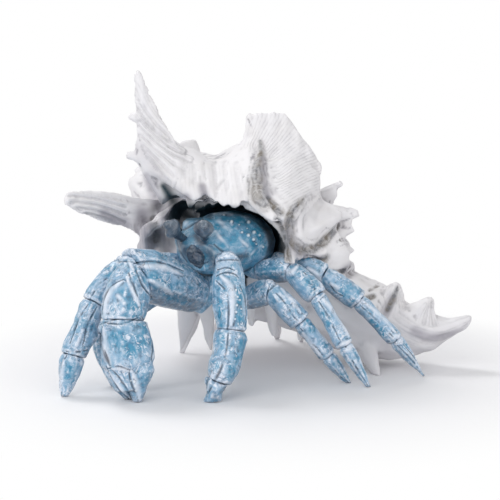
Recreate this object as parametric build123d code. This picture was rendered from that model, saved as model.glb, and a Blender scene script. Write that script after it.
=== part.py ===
"""Cast ornament: a hermit crab in a branched murex shell, in millimetres, +Z up, viewer towards -Y."""
import os
from math import cos, pi, sin

from build123d import *

os.makedirs("parts", exist_ok=True)

# Layout of the figure
reach = 98.0             # from the crab's middle to its outermost feet, which its knuckles follow
shell_length = 216.0     # from the spire to the end of the canal
whorl_radius = 49.0

# Fits between castings
glue_gap = 0.15
key_clearance = 0.15
seat_clearance = 0.3
limb_clearance = 0.8
cutter_side = 400.0      # the blocks that trim at a plane, wider than the whole figure

# Claws and legs: half the width of each segment
claw_arm_radius = 12.5
claw_wrist_radius = 10.5
claw_palm_radius = 12.0
claw_finger_radius = 6.0
fixed_finger_radius = 7.0
small_arm_radius = 6.4
small_wrist_radius = 8.0
small_palm_radius = 8.6
small_finger_radius = 8.2
left_arm_radius = 6.5
left_wrist_radius = 6.8
left_shin_radius = 6.8
left_tip_radius = 6.0
left_rear_shin_radius = 5.0
left_rear_tip_radius = 4.6
leg_arm_radius = 6.6
leg_wrist_radius = 5.9
leg_shin_radius = 4.8
leg_tip_radius = 3.9
claw_key = 5.0
leg_key = 2.4
key_length = 4.0

# Crab's body
carapace_radius = 24.5
mouth_radius = 7.5
eye_radius = 3.9
stalk_radius = 2.6
eye_key = 1.8

# Shell
aperture_gap = 9.0
hood_radius = 39.0
hood_wall = 5.5
frond_thickness = 7.0
horn_width = 17.0
side_horn_width = 10.0
fan_width = 21.5
rear_horn_width = 14.0
spike_radius = 7.0
knob_radius = 3.4
mouth_corner_radius = 9.0
mantle_thickness = 5.0
mantle_swell = 3.5
shell_key = 3.0
shell_key_length = 7.0

# Outlines and lengthwise forms: shares of a segment's length and radius
limb_sides = 12
limb_depth_share = 0.82
limb_ridge_share = 0.08
limb_overrun_share = 0.8
limb_overrun_form_shares = (0.8, 0.72)
carapace_sides = 16
carapace_height_share = 0.68
whorl_sides = 24
whorl_flute_share = 0.03
varix_every = 8
hood_flutes = 5
hood_height_share = 0.64
hood_flute_share = 0.035
hood_spread_share = 1.15
arm_form_shares = ((0.0, 0.72), (0.25, 0.88), (0.6, 1.0), (0.88, 1.0), (1.0, 0.86))
wrist_form_shares = ((0.0, 0.74), (0.2, 0.92), (0.55, 1.0), (0.85, 1.0), (1.0, 0.88))
shin_form_shares = ((0.0, 0.82), (0.1, 0.98), (0.5, 0.92), (0.85, 1.0), (1.0, 0.84))
tip_form_shares = ((0.0, 0.86), (0.12, 1.0), (0.4, 0.88), (0.7, 0.6), (0.9, 0.34), (1.0, 0.24))
finger_form_shares = ((0.0, 0.8), (0.15, 1.0), (0.45, 0.9), (0.75, 0.62), (1.0, 0.3))
stalk_form_shares = ((0.0, 1.0), (0.5, 0.86), (1.0, 0.9))
eye_form_shares = ((0.0, 0.6), (0.2, 0.9), (0.5, 1.0), (0.8, 0.9), (1.0, 0.5))
mouth_form_shares = ((0.0, 0.8), (0.4, 1.0), (0.75, 0.9), (1.0, 0.5))
horn_form_shares = ((0.0, 1.0), (0.2, 0.95), (0.38, 0.72), (0.55, 0.5), (0.78, 0.3), (1.0, 0.1))
side_horn_form_shares = ((0.0, 1.1), (0.35, 0.9), (0.65, 0.8), (0.85, 0.62), (1.0, 0.35))
fan_form_shares = ((0.0, 0.85), (0.35, 1.0), (0.75, 1.05), (1.0, 0.98))
fan_shoulder_share = (0.20, -0.02, 1.42)
fan_shoulder_heading = Vector(0.82, 0.0, 0.57)
horn_heel_share = (-0.60, -0.28, 1.13)
horn_heel_heading = Vector(-0.86, 0.0, -0.51)
frond_split_share = 0.45
frond_bow_share = 0.30
frond_pleat_share = 0.10
frond_spine_share = 1.3
spike_form_shares = ((0.0, 1.0), (0.6, 0.64), (1.0, 0.24))
spike_outline_shares = ((1, 0), (0.4, 0.8), (-0.6, 0.7), (-1, 0), (-0.3, -0.5), (0.5, -0.6))
spike_root_share = 0.7
spike_sunk_share = 0.6
spike_lean = Vector(0.3, 1.0, 0.2)
tail_row = 14

# Knuckle places: shares of reach
claw_shares = ((-0.27, -0.44, 0.45), (-0.58, -0.74, 0.63), (-0.63, -0.83, 0.39), (-0.595, -0.87, 0.15))
claw_finger_shares = ((-0.665, -0.865, 0.185), (-0.585, -0.84, -0.01))
fixed_finger_shares = ((-0.535, -0.88, 0.19), (-0.545, -0.895, -0.01))
small_claw_shares = ((-0.12, -0.44, 0.62), (-0.11, -0.70, 0.665), (-0.095, -0.80, 0.335), (-0.15, -0.875, 0.095),
                     (-0.215, -0.885, -0.015))
left_leg_shares = ((-0.38, -0.36, 0.62), (-0.665, -0.56, 0.62), (-0.79, -0.66, 0.45), (-0.885, -0.75, 0.20),
                   (-0.925, -0.80, -0.012))
left_rear_shares = ((-0.36, -0.28, 0.52), (-0.80, -0.52, 0.26), (-0.70, -0.60, -0.01))
front_leg_shares = ((-0.05, -0.42, 0.42), (0.105, -0.56, 0.50), (0.26, -0.585, 0.34), (0.405, -0.55, 0.155),
                    (0.53, -0.51, -0.012))
middle_leg_shares = ((0.04, -0.36, 0.57), (0.21, -0.46, 0.60), (0.345, -0.56, 0.47), (0.485, -0.63, 0.225),
                     (0.622, -0.60, -0.012))
rear_leg_shares = ((0.12, -0.27, 0.62), (0.395, -0.40, 0.56), (0.575, -0.43, 0.425), (0.775, -0.42, 0.215),
                   (0.92, -0.39, 0.03))
hip_root_share = (-0.13, -0.28, 0.68)

# Crab's body: places as shares of reach, each with a share of its radius
body_heading = Vector(0.42, 0.905, 0.06).normalized()
body_shares = (((-0.27, -0.54, 0.670), 0.42), ((-0.24, -0.48, 0.685), 0.66), ((-0.19, -0.40, 0.705), 0.88),
               ((-0.13, -0.30, 0.720), 1.0), ((-0.08, -0.18, 0.725), 0.97), ((-0.05, -0.06, 0.730), 0.82),
               ((-0.03, 0.06, 0.735), 0.66), ((-0.02, 0.16, 0.740), 0.50), ((-0.01, 0.26, 0.745), 0.30))
aperture_shares = (((-0.24, -0.70, 0.690), 1.0), ((-0.18, -0.40, 0.700), 1.0), ((-0.11, -0.22, 0.720), 0.5),
                   ((-0.06, -0.08, 0.730), 0.0))
mouth_shares = ((-0.265, -0.52, 0.67), (-0.285, -0.685, 0.66))
left_eye_shares = ((-0.32, -0.45, 0.74), (-0.405, -0.52, 0.80))
right_eye_shares = ((-0.235, -0.48, 0.75), (-0.235, -0.60, 0.815))

# Shell: centre line from the whorl's middle as shares of shell_length, with shares of whorl_radius
whorl_centre_share = (-0.02, 0.20, 0.75)
shell_heading = Vector(0.874, -0.344, -0.339).normalized()
centre_line_shares = (
    ((-0.327, 0.123, 0.127), 0.04), ((-0.300, 0.113, 0.117), 0.18), ((-0.268, 0.103, 0.103), 0.28),
    ((-0.248, 0.093, 0.095), 0.38), ((-0.205, 0.078, 0.078), 0.48), ((-0.178, 0.066, 0.068), 0.64),
    ((-0.125, 0.045, 0.048), 0.82), ((-0.066, 0.023, 0.023), 0.96), ((0.0, 0.0, 0.0), 1.0),
    ((0.070, -0.027, -0.036), 0.94), ((0.138, -0.055, -0.084), 0.77), ((0.205, -0.080, -0.140), 0.62),
    ((0.268, -0.100, -0.195), 0.50), ((0.335, -0.122, -0.238), 0.41), ((0.410, -0.148, -0.257), 0.31),
    ((0.490, -0.168, -0.252), 0.20), ((0.545, -0.182, -0.222), 0.09))
hood_shares = (((-0.165, -0.35, 0.69), 0.95), ((-0.12, -0.20, 0.73), 1.02), ((-0.08, -0.05, 0.77), 1.06))
mouth_corner_shares = ((-0.50, -0.60, 0.985), (-0.36, -0.10, 0.86))
spike_shares = (
    (7, (-0.416, 0.24, -0.02), 1.0), (8, (-0.224, 0.27, -0.02), 1.0), (9, (0.004, 0.08, 0.20), 1.0),
    (9, (0.176, 0.70, -0.02), 1.0), (10, (0.327, 0.61, -0.02), 1.0), (12, (0.70, -0.36, -0.02), 1.1),
    (9, (0.517, -0.05, 1.034), 1.1), (10, (0.606, -0.08, 0.862), 1.6), (11, (0.568, -0.14, 0.665), 1.3),
    (11, (0.606, -0.16, 0.572), 1.6), (12, (0.74, -0.06, 0.457), 1.4), (13, (0.825, -0.14, 0.462), 1.5),
    (14, (1.00, -0.20, 0.381), 1.7), (3, (-0.72, 0.60, 1.10), 1.0), (6, (-0.30, 0.80, 1.20), 1.0),
    (9, (0.30, 0.75, 0.95), 1.2), (11, (0.60, 0.42, 0.45), 1.2))
horn_shares = ((-0.44, -0.26, 0.93), (-0.595, -0.35, 1.63))
side_horn_shares = ((-0.50, 0.04, 0.82), (-0.985, -0.34, 0.965))
fan_shares = ((0.15, -0.30, 0.84), (0.20, -0.03, 1.42))
rear_horn_shares = ((-0.02, 0.50, 0.85), (0.05, 1.17, 0.98))
knob_shares = (("shell_horn", ((-0.56, -0.316, 1.40), (-0.648, -0.316, 1.389))),
               ("shell_body", ((-0.55, -0.276, 1.166), (-0.66, -0.286, 1.193))),
               ("shell_body", ((-0.337, 0.06, 1.20), (-0.336, 0.051, 1.281))))

# Mantle: the flared lip from the left of the mouth to the right, each column's place at the lip and at the crest
mantle_shares = (
    ((-0.56, -0.28, 1.10), (-0.60, -0.30, 1.27)), ((-0.48, -0.32, 1.06), (-0.52, -0.31, 1.325)),
    ((-0.39, -0.37, 1.01), (-0.44, -0.28, 1.295)), ((-0.29, -0.43, 0.955), (-0.36, -0.185, 1.245)),
    ((-0.23, -0.42, 1.00), (-0.28, -0.11, 1.225)), ((-0.16, -0.48, 0.935), (-0.19, -0.09, 1.18)),
    ((-0.07, -0.50, 0.93), (-0.085, -0.06, 1.24)), ((-0.015, -0.47, 0.965), (-0.005, -0.06, 1.295)),
    ((0.035, -0.52, 0.91), (0.065, -0.13, 1.25)), ((0.10, -0.545, 0.87), (0.14, -0.12, 1.23)),
    ((0.135, -0.55, 0.858), (0.24, -0.143, 1.22)), ((0.175, -0.53, 0.856), (0.385, -0.173, 1.10)),
    ((0.193, -0.46, 0.824), (0.40, -0.122, 0.965)), ((0.19, -0.46, 0.76), (0.51, -0.204, 0.88)),
    ((0.212, -0.41, 0.70), (0.486, -0.173, 0.785)), ((0.255, -0.39, 0.65), (0.55, -0.214, 0.673)),
    ((0.295, -0.347, 0.59), (0.563, -0.204, 0.56)))
# Mantle from the lip to the crest: place on the way, swell and thickness
mantle_form_shares = ((0.0, 0.0, 0.45), (0.14, 0.9, 0.7), (0.42, 1.0, 1.0), (0.74, 0.5, 1.2), (1.0, 0.0, 0.9))

up = Vector(0, 0, 1)
away = Vector(0, 1, 0)
pieces = {}
rooms = []
sockets = []


def place(shares, unit=reach):
    """A point given as shares of one length."""
    return Vector(*(share * unit for share in shares))


def places(table):
    """The points of a table of shares of reach."""
    return [place(shares) for shares in table]


def oval(sides, height_share, ridge_share=0.0):
    """Unit outline: an oval whose every third corner is raised into a ridge."""
    corners = []
    for corner in range(sides):
        turn = 2 * pi * corner / sides
        size = 1 + ridge_share * (corner % 3 == 0)
        corners.append((size * cos(turn), size * height_share * sin(turn)))
    return corners


def fluted(sides, flute_share, varix_step):
    """Unit outline of the whorl: shallow flutes, with a raised varix every few corners."""
    corners = []
    for corner in range(sides):
        turn = 2 * pi * corner / sides
        size = 1 + flute_share * (-1) ** corner + 2 * flute_share * (corner % varix_step == 0)
        corners.append((size * cos(turn), size * sin(turn)))
    return corners


def arch(flutes, height_share, wall_share, flute_share, spread_share):
    """Unit outline of the hood: an arch whose outer side is pleated."""
    count = 2 * flutes
    turns = [pi / 2 + spread_share * pi / 2 * (1 - 2 * step / count) for step in range(count + 1)]
    outer = []
    for step, turn in enumerate(turns):
        size = 1 + wall_share + flute_share * (-1) ** step
        outer.append((size * cos(turn), height_share * size * sin(turn)))
    inner = [(cos(turn), height_share * sin(turn)) for turn in reversed(turns)]
    return outer + inner


def gutter(pleats, thickness_share):
    """Unit outline of a frond: a bowed gutter whose open side is pleated."""
    count = 2 * pleats
    front = []
    back = []
    for step in range(count + 1):
        x = 2 * step / count - 1
        bow = frond_bow_share * x * x - thickness_share / 2
        front.append((x, bow + frond_pleat_share * (step % 2)))
        back.append((x, bow + thickness_share * (frond_spine_share - x * x)))
    return front + back[::-1]


def ruled(centres, radii, outline, across, rise):
    """Ruled loft through copies of one outline, each scaled by its radius and set at its centre."""
    rings = []
    for centre, radius in zip(centres, radii):
        corners = [centre + across * (radius * x) + rise * (radius * y) for x, y in outline]
        rings.append(Wire.make_polygon(corners, close=True))
    return Solid.make_loft(rings, ruled=True)


def facet(*corners):
    """One flat triangle."""
    return Face(Wire.make_polygon(corners, close=True))


def faceted(rings):
    """A solid in flat triangles through rings of points, each ring a front row and then a back row reversed."""
    faces = []
    count = len(rings[0])
    for ring, following in zip(rings, rings[1:]):
        for k in range(count):
            low, high = ring[k], ring[(k + 1) % count]
            faces.append(facet(low, following[k], high))
            faces.append(facet(high, following[k], following[(k + 1) % count]))
    for ring in (rings[0], rings[-1][::-1]):
        for k in range(count // 2 - 1):
            faces.append(facet(ring[k], ring[k + 1], ring[count - 1 - k]))
            faces.append(facet(ring[k + 1], ring[count - 2 - k], ring[count - 1 - k]))
    return Solid(Shell(faces))


def largest(shape):
    """The biggest solid of a cut."""
    return max(shape.solids(), key=lambda solid: solid.volume)


def above(shape, point, normal):
    """What lies on the normal's side of a plane."""
    block = Box(cutter_side, cutter_side, cutter_side, align=(Align.CENTER, Align.CENTER, Align.MAX))
    return largest(shape - Plane(origin=point, z_dir=normal) * block)


def below(shape, point, normal):
    """What lies behind a plane."""
    return above(shape, point, -normal)


def peg(point, normal, side, length, rise):
    """Square locating key through a seam, from length behind it to rise in front of it."""
    foot = Plane(origin=point - normal * length, z_dir=normal)
    return foot * Box(side, side, length + rise, align=(Align.CENTER, Align.CENTER, Align.MIN))


def socket(point, normal, side, length=key_length):
    """The hole for a key, with its clearance."""
    return peg(point, normal, side + 2 * key_clearance, length + key_clearance, length)


def joined(carrier, piece, point, normal, side, length=key_length):
    """Two castings parted at a flat seam, the second keyed into the first."""
    lower = largest(below(carrier, point, normal) - socket(point, normal, side, length))
    upper = above(piece, point + normal * glue_gap, normal)
    upper = largest(upper + peg(point, normal, side, length, length))
    return lower, upper


def segment(start, end, radius, form_shares):
    """One limb segment: a ridged oval loft that runs past both its ends, where seams cut it."""
    run = end - start
    axis = run.normalized()
    across = axis.cross(away).normalized()
    rise = across.cross(axis).normalized()
    over = limb_overrun_share * radius / run.length
    before, after = limb_overrun_form_shares
    rows = [(-over, form_shares[0][1] * before), *form_shares, (1 + over, form_shares[-1][1] * after)]
    centres = [start + run * at for at, share in rows]
    radii = [radius * share for at, share in rows]
    return ruled(centres, radii, oval(limb_sides, limb_depth_share, limb_ridge_share), across, rise)


def limb(names, points, radii, forms, key_side):
    """A chain of castings keyed one into the next. Returns the stub that the crab's body carries."""
    solids = [segment(*run) for run in zip(points, points[1:], radii, forms)]
    hip = (place(hip_root_share), points[0], radii[0] * forms[0][0][1], arm_form_shares)
    normal = (points[1] - points[0]).normalized()
    stub = below(segment(*hip), points[0], normal)
    solids[0] = above(solids[0], points[0] + normal * glue_gap, normal)
    solids[0] = largest(solids[0] + peg(points[0], normal, key_side, key_length, key_length))
    sockets.append(above(segment(points[0], points[1], radii[0] + glue_gap, forms[0]), points[0], normal))
    sockets.append(socket(points[0], normal, key_side))
    rooms.append(segment(hip[0], hip[1], hip[2] + limb_clearance, hip[3]))
    for start, end, radius, form in list(zip(points, points[1:], radii, forms))[:2]:
        rooms.append(segment(start, end, radius + limb_clearance, form))
    for number in range(1, len(solids)):
        before, here, after = points[number - 1:number + 2]
        normal = ((here - before).normalized() + (after - here).normalized()).normalized()
        pair = joined(solids[number - 1], solids[number], here, normal, key_side)
        solids[number - 1], solids[number] = pair
    for name, solid in zip(names, solids):
        pieces[name] = on_floor(solid)
    return stub


def on_floor(solid):
    """A casting cut flat where the figure stands."""
    if solid.bounding_box().min.Z >= 0:
        return solid
    return above(solid, Vector(0, 0, 0), up)


def claw_hand():
    """Fixed finger on the palm, and the second finger keyed in beside it."""
    fixed = segment(*places(fixed_finger_shares), fixed_finger_radius, finger_form_shares)
    root, end = places(claw_finger_shares)
    normal = (end - root).normalized()
    room = above(segment(root, end, claw_finger_radius + 2 * glue_gap, finger_form_shares), root, normal)
    palm = largest(pieces["claw_palm"] + fixed) - room
    palm = palm - socket(root, normal, leg_key)
    finger = above(segment(root, end, claw_finger_radius, finger_form_shares), root + normal * glue_gap, normal)
    pieces["claw_palm"] = on_floor(largest(palm))
    pieces["claw_finger"] = on_floor(largest(finger + peg(root, normal, leg_key, key_length, key_length)))


def crab_limbs():
    """Claws and legs, and the stubs that carry them."""
    arm, wrist, shin, tip = arm_form_shares, wrist_form_shares, shin_form_shares, tip_form_shares
    stubs = [
        limb(("claw_arm", "claw_wrist", "claw_palm"), places(claw_shares),
             (claw_arm_radius, claw_wrist_radius, claw_palm_radius), (arm, wrist, shin), claw_key),
        limb(("small_claw_arm", "small_claw_wrist", "small_claw_palm", "small_claw_finger"),
             places(small_claw_shares),
             (small_arm_radius, small_wrist_radius, small_palm_radius, small_finger_radius),
             (arm, wrist, shin, finger_form_shares), leg_key),
        limb(("left_leg_arm", "left_leg_wrist", "left_leg_shin", "left_leg_tip"), places(left_leg_shares),
             (left_arm_radius, left_wrist_radius, left_shin_radius, left_tip_radius),
             (arm, wrist, shin, tip), leg_key),
        limb(("left_rear_leg_shin", "left_rear_leg_tip"), places(left_rear_shares),
             (left_rear_shin_radius, left_rear_tip_radius), (shin, tip), leg_key)]
    right_legs = (("front_leg", front_leg_shares), ("middle_leg", middle_leg_shares), ("rear_leg", rear_leg_shares))
    for name, shares in right_legs:
        names = [f"{name}_{piece}" for piece in ("arm", "wrist", "shin", "tip")]
        radii = (leg_arm_radius, leg_wrist_radius, leg_shin_radius, leg_tip_radius)
        stubs.append(limb(names, places(shares), radii, (arm, wrist, shin, tip), leg_key))
    claw_hand()
    return stubs


def body_loft(growth=0.0):
    """The crab's body, or with growth the room that it seats in."""
    across = body_heading.cross(up).normalized()
    rise = across.cross(body_heading)
    centres = places(shares for shares, size in body_shares)
    radii = [carapace_radius * size + growth for shares, size in body_shares]
    return ruled(centres, radii, oval(carapace_sides, carapace_height_share), across, rise)


def aperture_loft():
    """The shell's open mouth, wider than the crab in front and closing on it behind."""
    across = body_heading.cross(up).normalized()
    rise = across.cross(body_heading)
    centres = places(shares for shares, size in aperture_shares)
    radii = [carapace_radius + aperture_gap * size for shares, size in aperture_shares]
    return ruled(centres, radii, oval(carapace_sides, carapace_height_share), across, rise)


def crab_body(stubs):
    """Carapace with its plug, stubs for the limbs, and the eyes and mouthparts keyed into it."""
    body = body_loft()
    for stub in stubs:
        body = body + stub
    for hollow in sockets:
        body = largest(body - hollow)
    for name, table in (("eyestalk_left", left_eye_shares), ("eyestalk_right", right_eye_shares)):
        root, end = places(table)
        axis = (end - root).normalized()
        stalk = segment(root, end, stalk_radius, stalk_form_shares)
        ball = segment(end, end + axis * eye_radius, eye_radius, eye_form_shares)
        pieces[name], body = seated(largest(stalk + ball), body, root, axis, eye_key)
    root, end = places(mouth_shares)
    mouth = segment(root, end, mouth_radius, mouth_form_shares)
    pieces["mouthparts"], body = seated(mouth, body, root, (end - root).normalized(), leg_key)
    pieces["crab_body"] = body


def seated(piece, carrier, root, axis, side):
    """A small casting that stands on a curved one: trimmed to it, with a key into it."""
    trimmed = largest(above(piece, root, axis) - carrier)
    carrier = largest(carrier - socket(root, axis, side))
    return largest(trimmed + peg(root, axis, side, key_length, key_length)), carrier


def whorls():
    """The fluted cone of whorls from the spire to the canal."""
    across = shell_heading.cross(up).normalized()
    rise = across.cross(shell_heading)
    middle = place(whorl_centre_share)
    centres = [middle + place(shares, shell_length) for shares, size in centre_line_shares]
    radii = [whorl_radius * size for shares, size in centre_line_shares]
    return ruled(centres, radii, fluted(whorl_sides, whorl_flute_share, varix_every), across, rise), centres, radii


def hood():
    """The flared lip over the crab."""
    across = body_heading.cross(up).normalized()
    rise = across.cross(body_heading)
    outline = arch(hood_flutes, hood_height_share, hood_wall / hood_radius, hood_flute_share, hood_spread_share)
    centres = places(shares for shares, size in hood_shares)
    lip = ruled(centres, [hood_radius * size for shares, size in hood_shares], outline, across, rise)
    return lip


def mantle():
    """The flared lip that hangs over the mouth in lobes and sweeps up and back into the fronds."""
    lips = places(lip for lip, crest in mantle_shares)
    crests = places(crest for lip, crest in mantle_shares)
    last = len(lips) - 1
    rings = []
    for column, (lip, crest) in enumerate(zip(lips, crests)):
        run = crest - lip
        beside = lips[min(column + 2, last)] - lips[max(column - 2, 0)]
        outward = beside.cross(run).normalized()
        front = [lip + run * at + outward * (mantle_swell * swell) for at, swell, wall in mantle_form_shares]
        back = [point - outward * (mantle_thickness * wall)
                for point, (at, swell, wall) in zip(front, mantle_form_shares)]
        rings.append(front + back[::-1])
    return faceted(rings)


def frond(table, width, form_shares, pleats, rise_hint):
    """A gutter-shaped frond from its root to its tip."""
    root, end = places(table)
    run = end - root
    across = run.cross(rise_hint).normalized()
    rise = across.cross(run).normalized()
    centres = [root + run * at for at, size in form_shares]
    radii = [width * size for at, size in form_shares]
    return ruled(centres, radii, gutter(pleats, frond_thickness / width), across, rise)


def spike(start, end, radius):
    """A short hollowed point."""
    run = end - start
    across = run.cross(spike_lean).normalized()
    rise = across.cross(run).normalized()
    centres = [start + run * at for at, size in spike_form_shares]
    radii = [radius * size for at, size in spike_form_shares]
    return ruled(centres, radii, spike_outline_shares, across, rise)


def shell():
    """The hollow casting and the large fronds that are keyed onto it."""
    body, centres, radii = whorls()
    body = largest(body + hood() + mantle())
    spikes = []
    for row, shares, size in spike_shares:
        outward = place(shares) - centres[row]
        sunk = min(spike_root_share * radii[row], spike_sunk_share * outward.length)
        spikes.append(spike(centres[row] + outward.normalized() * sunk, place(shares), spike_radius * size))
    for name, ends in knob_shares:
        if name == "shell_body":
            spikes.append(spike(*places(ends), knob_radius))
    body = largest(body.fuse(*spikes))
    fronds = (("shell_horn", horn_shares, horn_width, horn_form_shares, 4, away),
              ("shell_side_horn", side_horn_shares, side_horn_width, side_horn_form_shares, 3, away),
              ("shell_fan", fan_shares, fan_width, fan_form_shares, 6, away),
              ("shell_rear_horn", rear_horn_shares, rear_horn_width, horn_form_shares, 4, up))
    for name, table, width, form_shares, pleats, hint in fronds:
        whole = frond(table, width, form_shares, pleats, hint)
        if name == "shell_fan":
            whole = below(whole, place(fan_shoulder_share), fan_shoulder_heading)
        if name == "shell_horn":
            whole = below(whole, place(horn_heel_share), horn_heel_heading)
        root, end = places(table)
        seam = root + (end - root) * frond_split_share
        normal = (end - root).normalized()
        top = above(whole, seam + normal * glue_gap, normal)
        knobs = [spike(*places(ends), knob_radius) for carrier, ends in knob_shares if carrier == name]
        top = largest((top.fuse(*knobs) if knobs else top) - body)
        pieces[name] = largest(top + peg(seam, normal, shell_key, shell_key_length, shell_key_length))
        body = largest(body + below(whole, seam, normal) - socket(seam, normal, shell_key, shell_key_length))
    seam = centres[tail_row]
    body, pieces["shell_tail"] = joined(body, body, seam, shell_heading, shell_key, shell_key_length)
    corner = segment(*places(mouth_corner_shares), mouth_corner_radius, stalk_form_shares)
    body = body.cut(aperture_loft(), corner, body_loft(growth=seat_clearance), *rooms)
    pieces["shell_body"] = on_floor(largest(body))


def write_parts():
    """Set the figure over the middle of its footprint and write one file for each casting."""
    box = Compound(list(pieces.values())).bounding_box()
    middle = Vector((box.min.X + box.max.X) / 2, (box.min.Y + box.max.Y) / 2, box.min.Z)
    print("figure", [round(value, 2) for value in (*box.size, *middle)])
    for name, piece in pieces.items():
        export_step(piece.moved(Location(-middle)), f"parts/{name}.step")


crab_body(crab_limbs())
shell()
write_parts()
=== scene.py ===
import math

import bmesh
import bpy
import numpy as np
from mathutils import Matrix, Vector, noise
from mathutils.bvhtree import BVHTree


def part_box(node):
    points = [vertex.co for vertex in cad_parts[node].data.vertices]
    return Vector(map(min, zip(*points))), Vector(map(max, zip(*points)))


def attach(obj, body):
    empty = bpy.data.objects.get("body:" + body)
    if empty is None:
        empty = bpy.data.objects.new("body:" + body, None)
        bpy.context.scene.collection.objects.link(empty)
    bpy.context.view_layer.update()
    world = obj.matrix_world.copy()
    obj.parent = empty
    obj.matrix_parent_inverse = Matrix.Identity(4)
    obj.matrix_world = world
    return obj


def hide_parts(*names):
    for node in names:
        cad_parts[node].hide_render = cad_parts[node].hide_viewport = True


bl_info = {
    "name": "Hermit Crab Figurine",
    "version": (1, 0, 0),
    "blender": (4, 5, 0),
    "location": "View3D > Sidebar > Crab",
    "description": "Carves and paints a cast hermit crab in its frilled shell",
    "category": "Object",
}

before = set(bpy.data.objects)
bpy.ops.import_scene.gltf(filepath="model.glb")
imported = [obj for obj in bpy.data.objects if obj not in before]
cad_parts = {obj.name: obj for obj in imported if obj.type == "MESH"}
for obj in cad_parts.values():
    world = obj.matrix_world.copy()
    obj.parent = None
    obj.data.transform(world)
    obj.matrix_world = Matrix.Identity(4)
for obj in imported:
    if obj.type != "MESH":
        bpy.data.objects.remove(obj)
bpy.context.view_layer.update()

MM = 0.001
# How many units wide and high the picture is, for the places and widths given over it
PICTURE = 500
# The width of the camera's sensor in millimetres
SENSOR = 36.0
# How many triangles the carved shell may keep
SHELL_TRIANGLES = 192000
# How far off the crab's body can be for a wall of the shell to count as the inside of its
# mouth, which is painted dark as shadow
MOUTH_REACH = 40 * MM
# How far a point has to rise from its close and from its wider surroundings to be quite proud
FINE_RISE = 0.05 * MM
BROAD_RISE = 0.35 * MM


# Carving tools


def points_of(piece):
    """The piece's points as rows of x, y and z."""
    flat = np.empty(len(piece.data.vertices) * 3, np.float32)
    piece.data.vertices.foreach_get("co", flat)
    return flat.reshape(-1, 3).astype(np.float64)


def place_points(piece, points):
    """Gives the piece's points new places, none of them under the surface it stands on."""
    points[:, 2] = np.maximum(points[:, 2], 0.0)
    piece.data.vertices.foreach_set("co", points.astype(np.float32).ravel())
    piece.data.update()


def normals_of(piece):
    """The outward direction at each point of the piece."""
    flat = np.empty(len(piece.data.vertices) * 3, np.float32)
    piece.data.vertex_normals.foreach_get("vector", flat)
    return flat.reshape(-1, 3).astype(np.float64)


def edges_of(piece):
    """The two ends of each edge of the piece."""
    flat = np.empty(len(piece.data.edges) * 2, np.int32)
    piece.data.edges.foreach_get("vertices", flat)
    return flat.reshape(-1, 2)


def relaxed(points, edges, times):
    """The points after each has moved half way to its neighbours' middle, that many times."""
    count = np.bincount(edges.ravel(), minlength=len(points))[:, None]
    count = np.maximum(count, 1)
    for _ in range(times):
        total = np.stack(
            [
                np.bincount(edges[:, 0], points[edges[:, 1], axis], len(points))
                + np.bincount(edges[:, 1], points[edges[:, 0], axis], len(points))
                for axis in range(points.shape[1])
            ],
            axis=1,
        )
        points = (points + total / count) / 2
    return points


def clouds(points, size, seed):
    """Smooth noise from -1 to 1 whose lumps are about size across."""
    shift = Vector((seed * 7.31, seed * 3.17, seed * 5.53))
    return np.array([noise.noise(Vector(p) / size + shift) for p in points])


def cells(points, size, seed):
    """The distance to the nearest of many seeds about size apart, from 0 to about 1."""
    shift = Vector((seed * 4.71, seed * 9.13, seed * 2.37))
    return np.array([noise.voronoi(Vector(p) / size + shift)[0][0] for p in points])


def rounded(value):
    """A value held between 0 and 1, with soft ends."""
    value = np.clip(value, 0.0, 1.0)
    return value * value * (3 - 2 * value)


def bump(distance, width):
    """1 where the distance is zero, falling softly to 0 at the width."""
    return rounded(1 - np.abs(distance) / width)


def waves(phase):
    """Rounded ridges and furrows, from -1 in a furrow to 1 on a ridge."""
    return np.sin(phase) * (1.25 - 0.25 * np.sin(phase))


def camera_frame():
    """The camera's place and the directions of its right side, its top and its view."""
    settings = bpy.context.scene.crab_studio
    back = np.array((0.0, -math.cos(settings.tilt), math.sin(settings.tilt)))
    place = np.array(settings.target) + back * settings.distance
    return place, np.array((1.0, 0.0, 0.0)), np.cross((1.0, 0.0, 0.0), -back), -back


def in_picture(points):
    """Where the camera sees each point, in picture units from the picture's top left corner."""
    place, right, top, view = camera_frame()
    off = points - place
    scale = PICTURE * bpy.context.scene.crab_studio.lens / SENSOR / (off @ view)
    across = PICTURE / 2 + scale * (off @ right)
    return np.stack([across, PICTURE / 2 - scale * (off @ top)], axis=1)


def facing_camera(points, normals, least=0.0):
    """1 where a surface faces the camera and 0 where it turns away further than the least."""
    rays = points - camera_frame()[0]
    rays /= np.linalg.norm(rays, axis=1)[:, None]
    return rounded((-(rays * normals).sum(axis=1) - least) / 0.35 + 0.1)


def curved(path, steps=4):
    """The corners of a path with more between them, on a smooth curve through them all."""
    corners = np.array(path, float)
    if len(corners) < 3:
        return corners
    row = np.vstack([2 * corners[0] - corners[1], corners, 2 * corners[-1] - corners[-2]])
    places = []
    for before, start, end, after in zip(row, row[1:], row[2:], row[3:]):
        for share in np.arange(steps) / steps:
            places.append(
                start
                + (end - before) * share / 2
                + (2 * before - 5 * start + 4 * end - after) * share**2 / 2
                + (3 * start - before - 3 * end + after) * share**3 / 2
            )
    places.append(corners[-1])
    return np.array(places)


def path_gap(spots, places):
    """How far each spot is from a path, in picture units."""
    gap = np.full(len(spots), 1e3)
    for start, end in zip(places[:-1, :2], places[1:, :2]):
        run = end - start
        share = np.clip((spots - start) @ run / (run @ run), 0.0, 1.0)
        gap = np.minimum(gap, np.linalg.norm(spots - start - share[:, None] * run, axis=1))
    return gap


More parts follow.
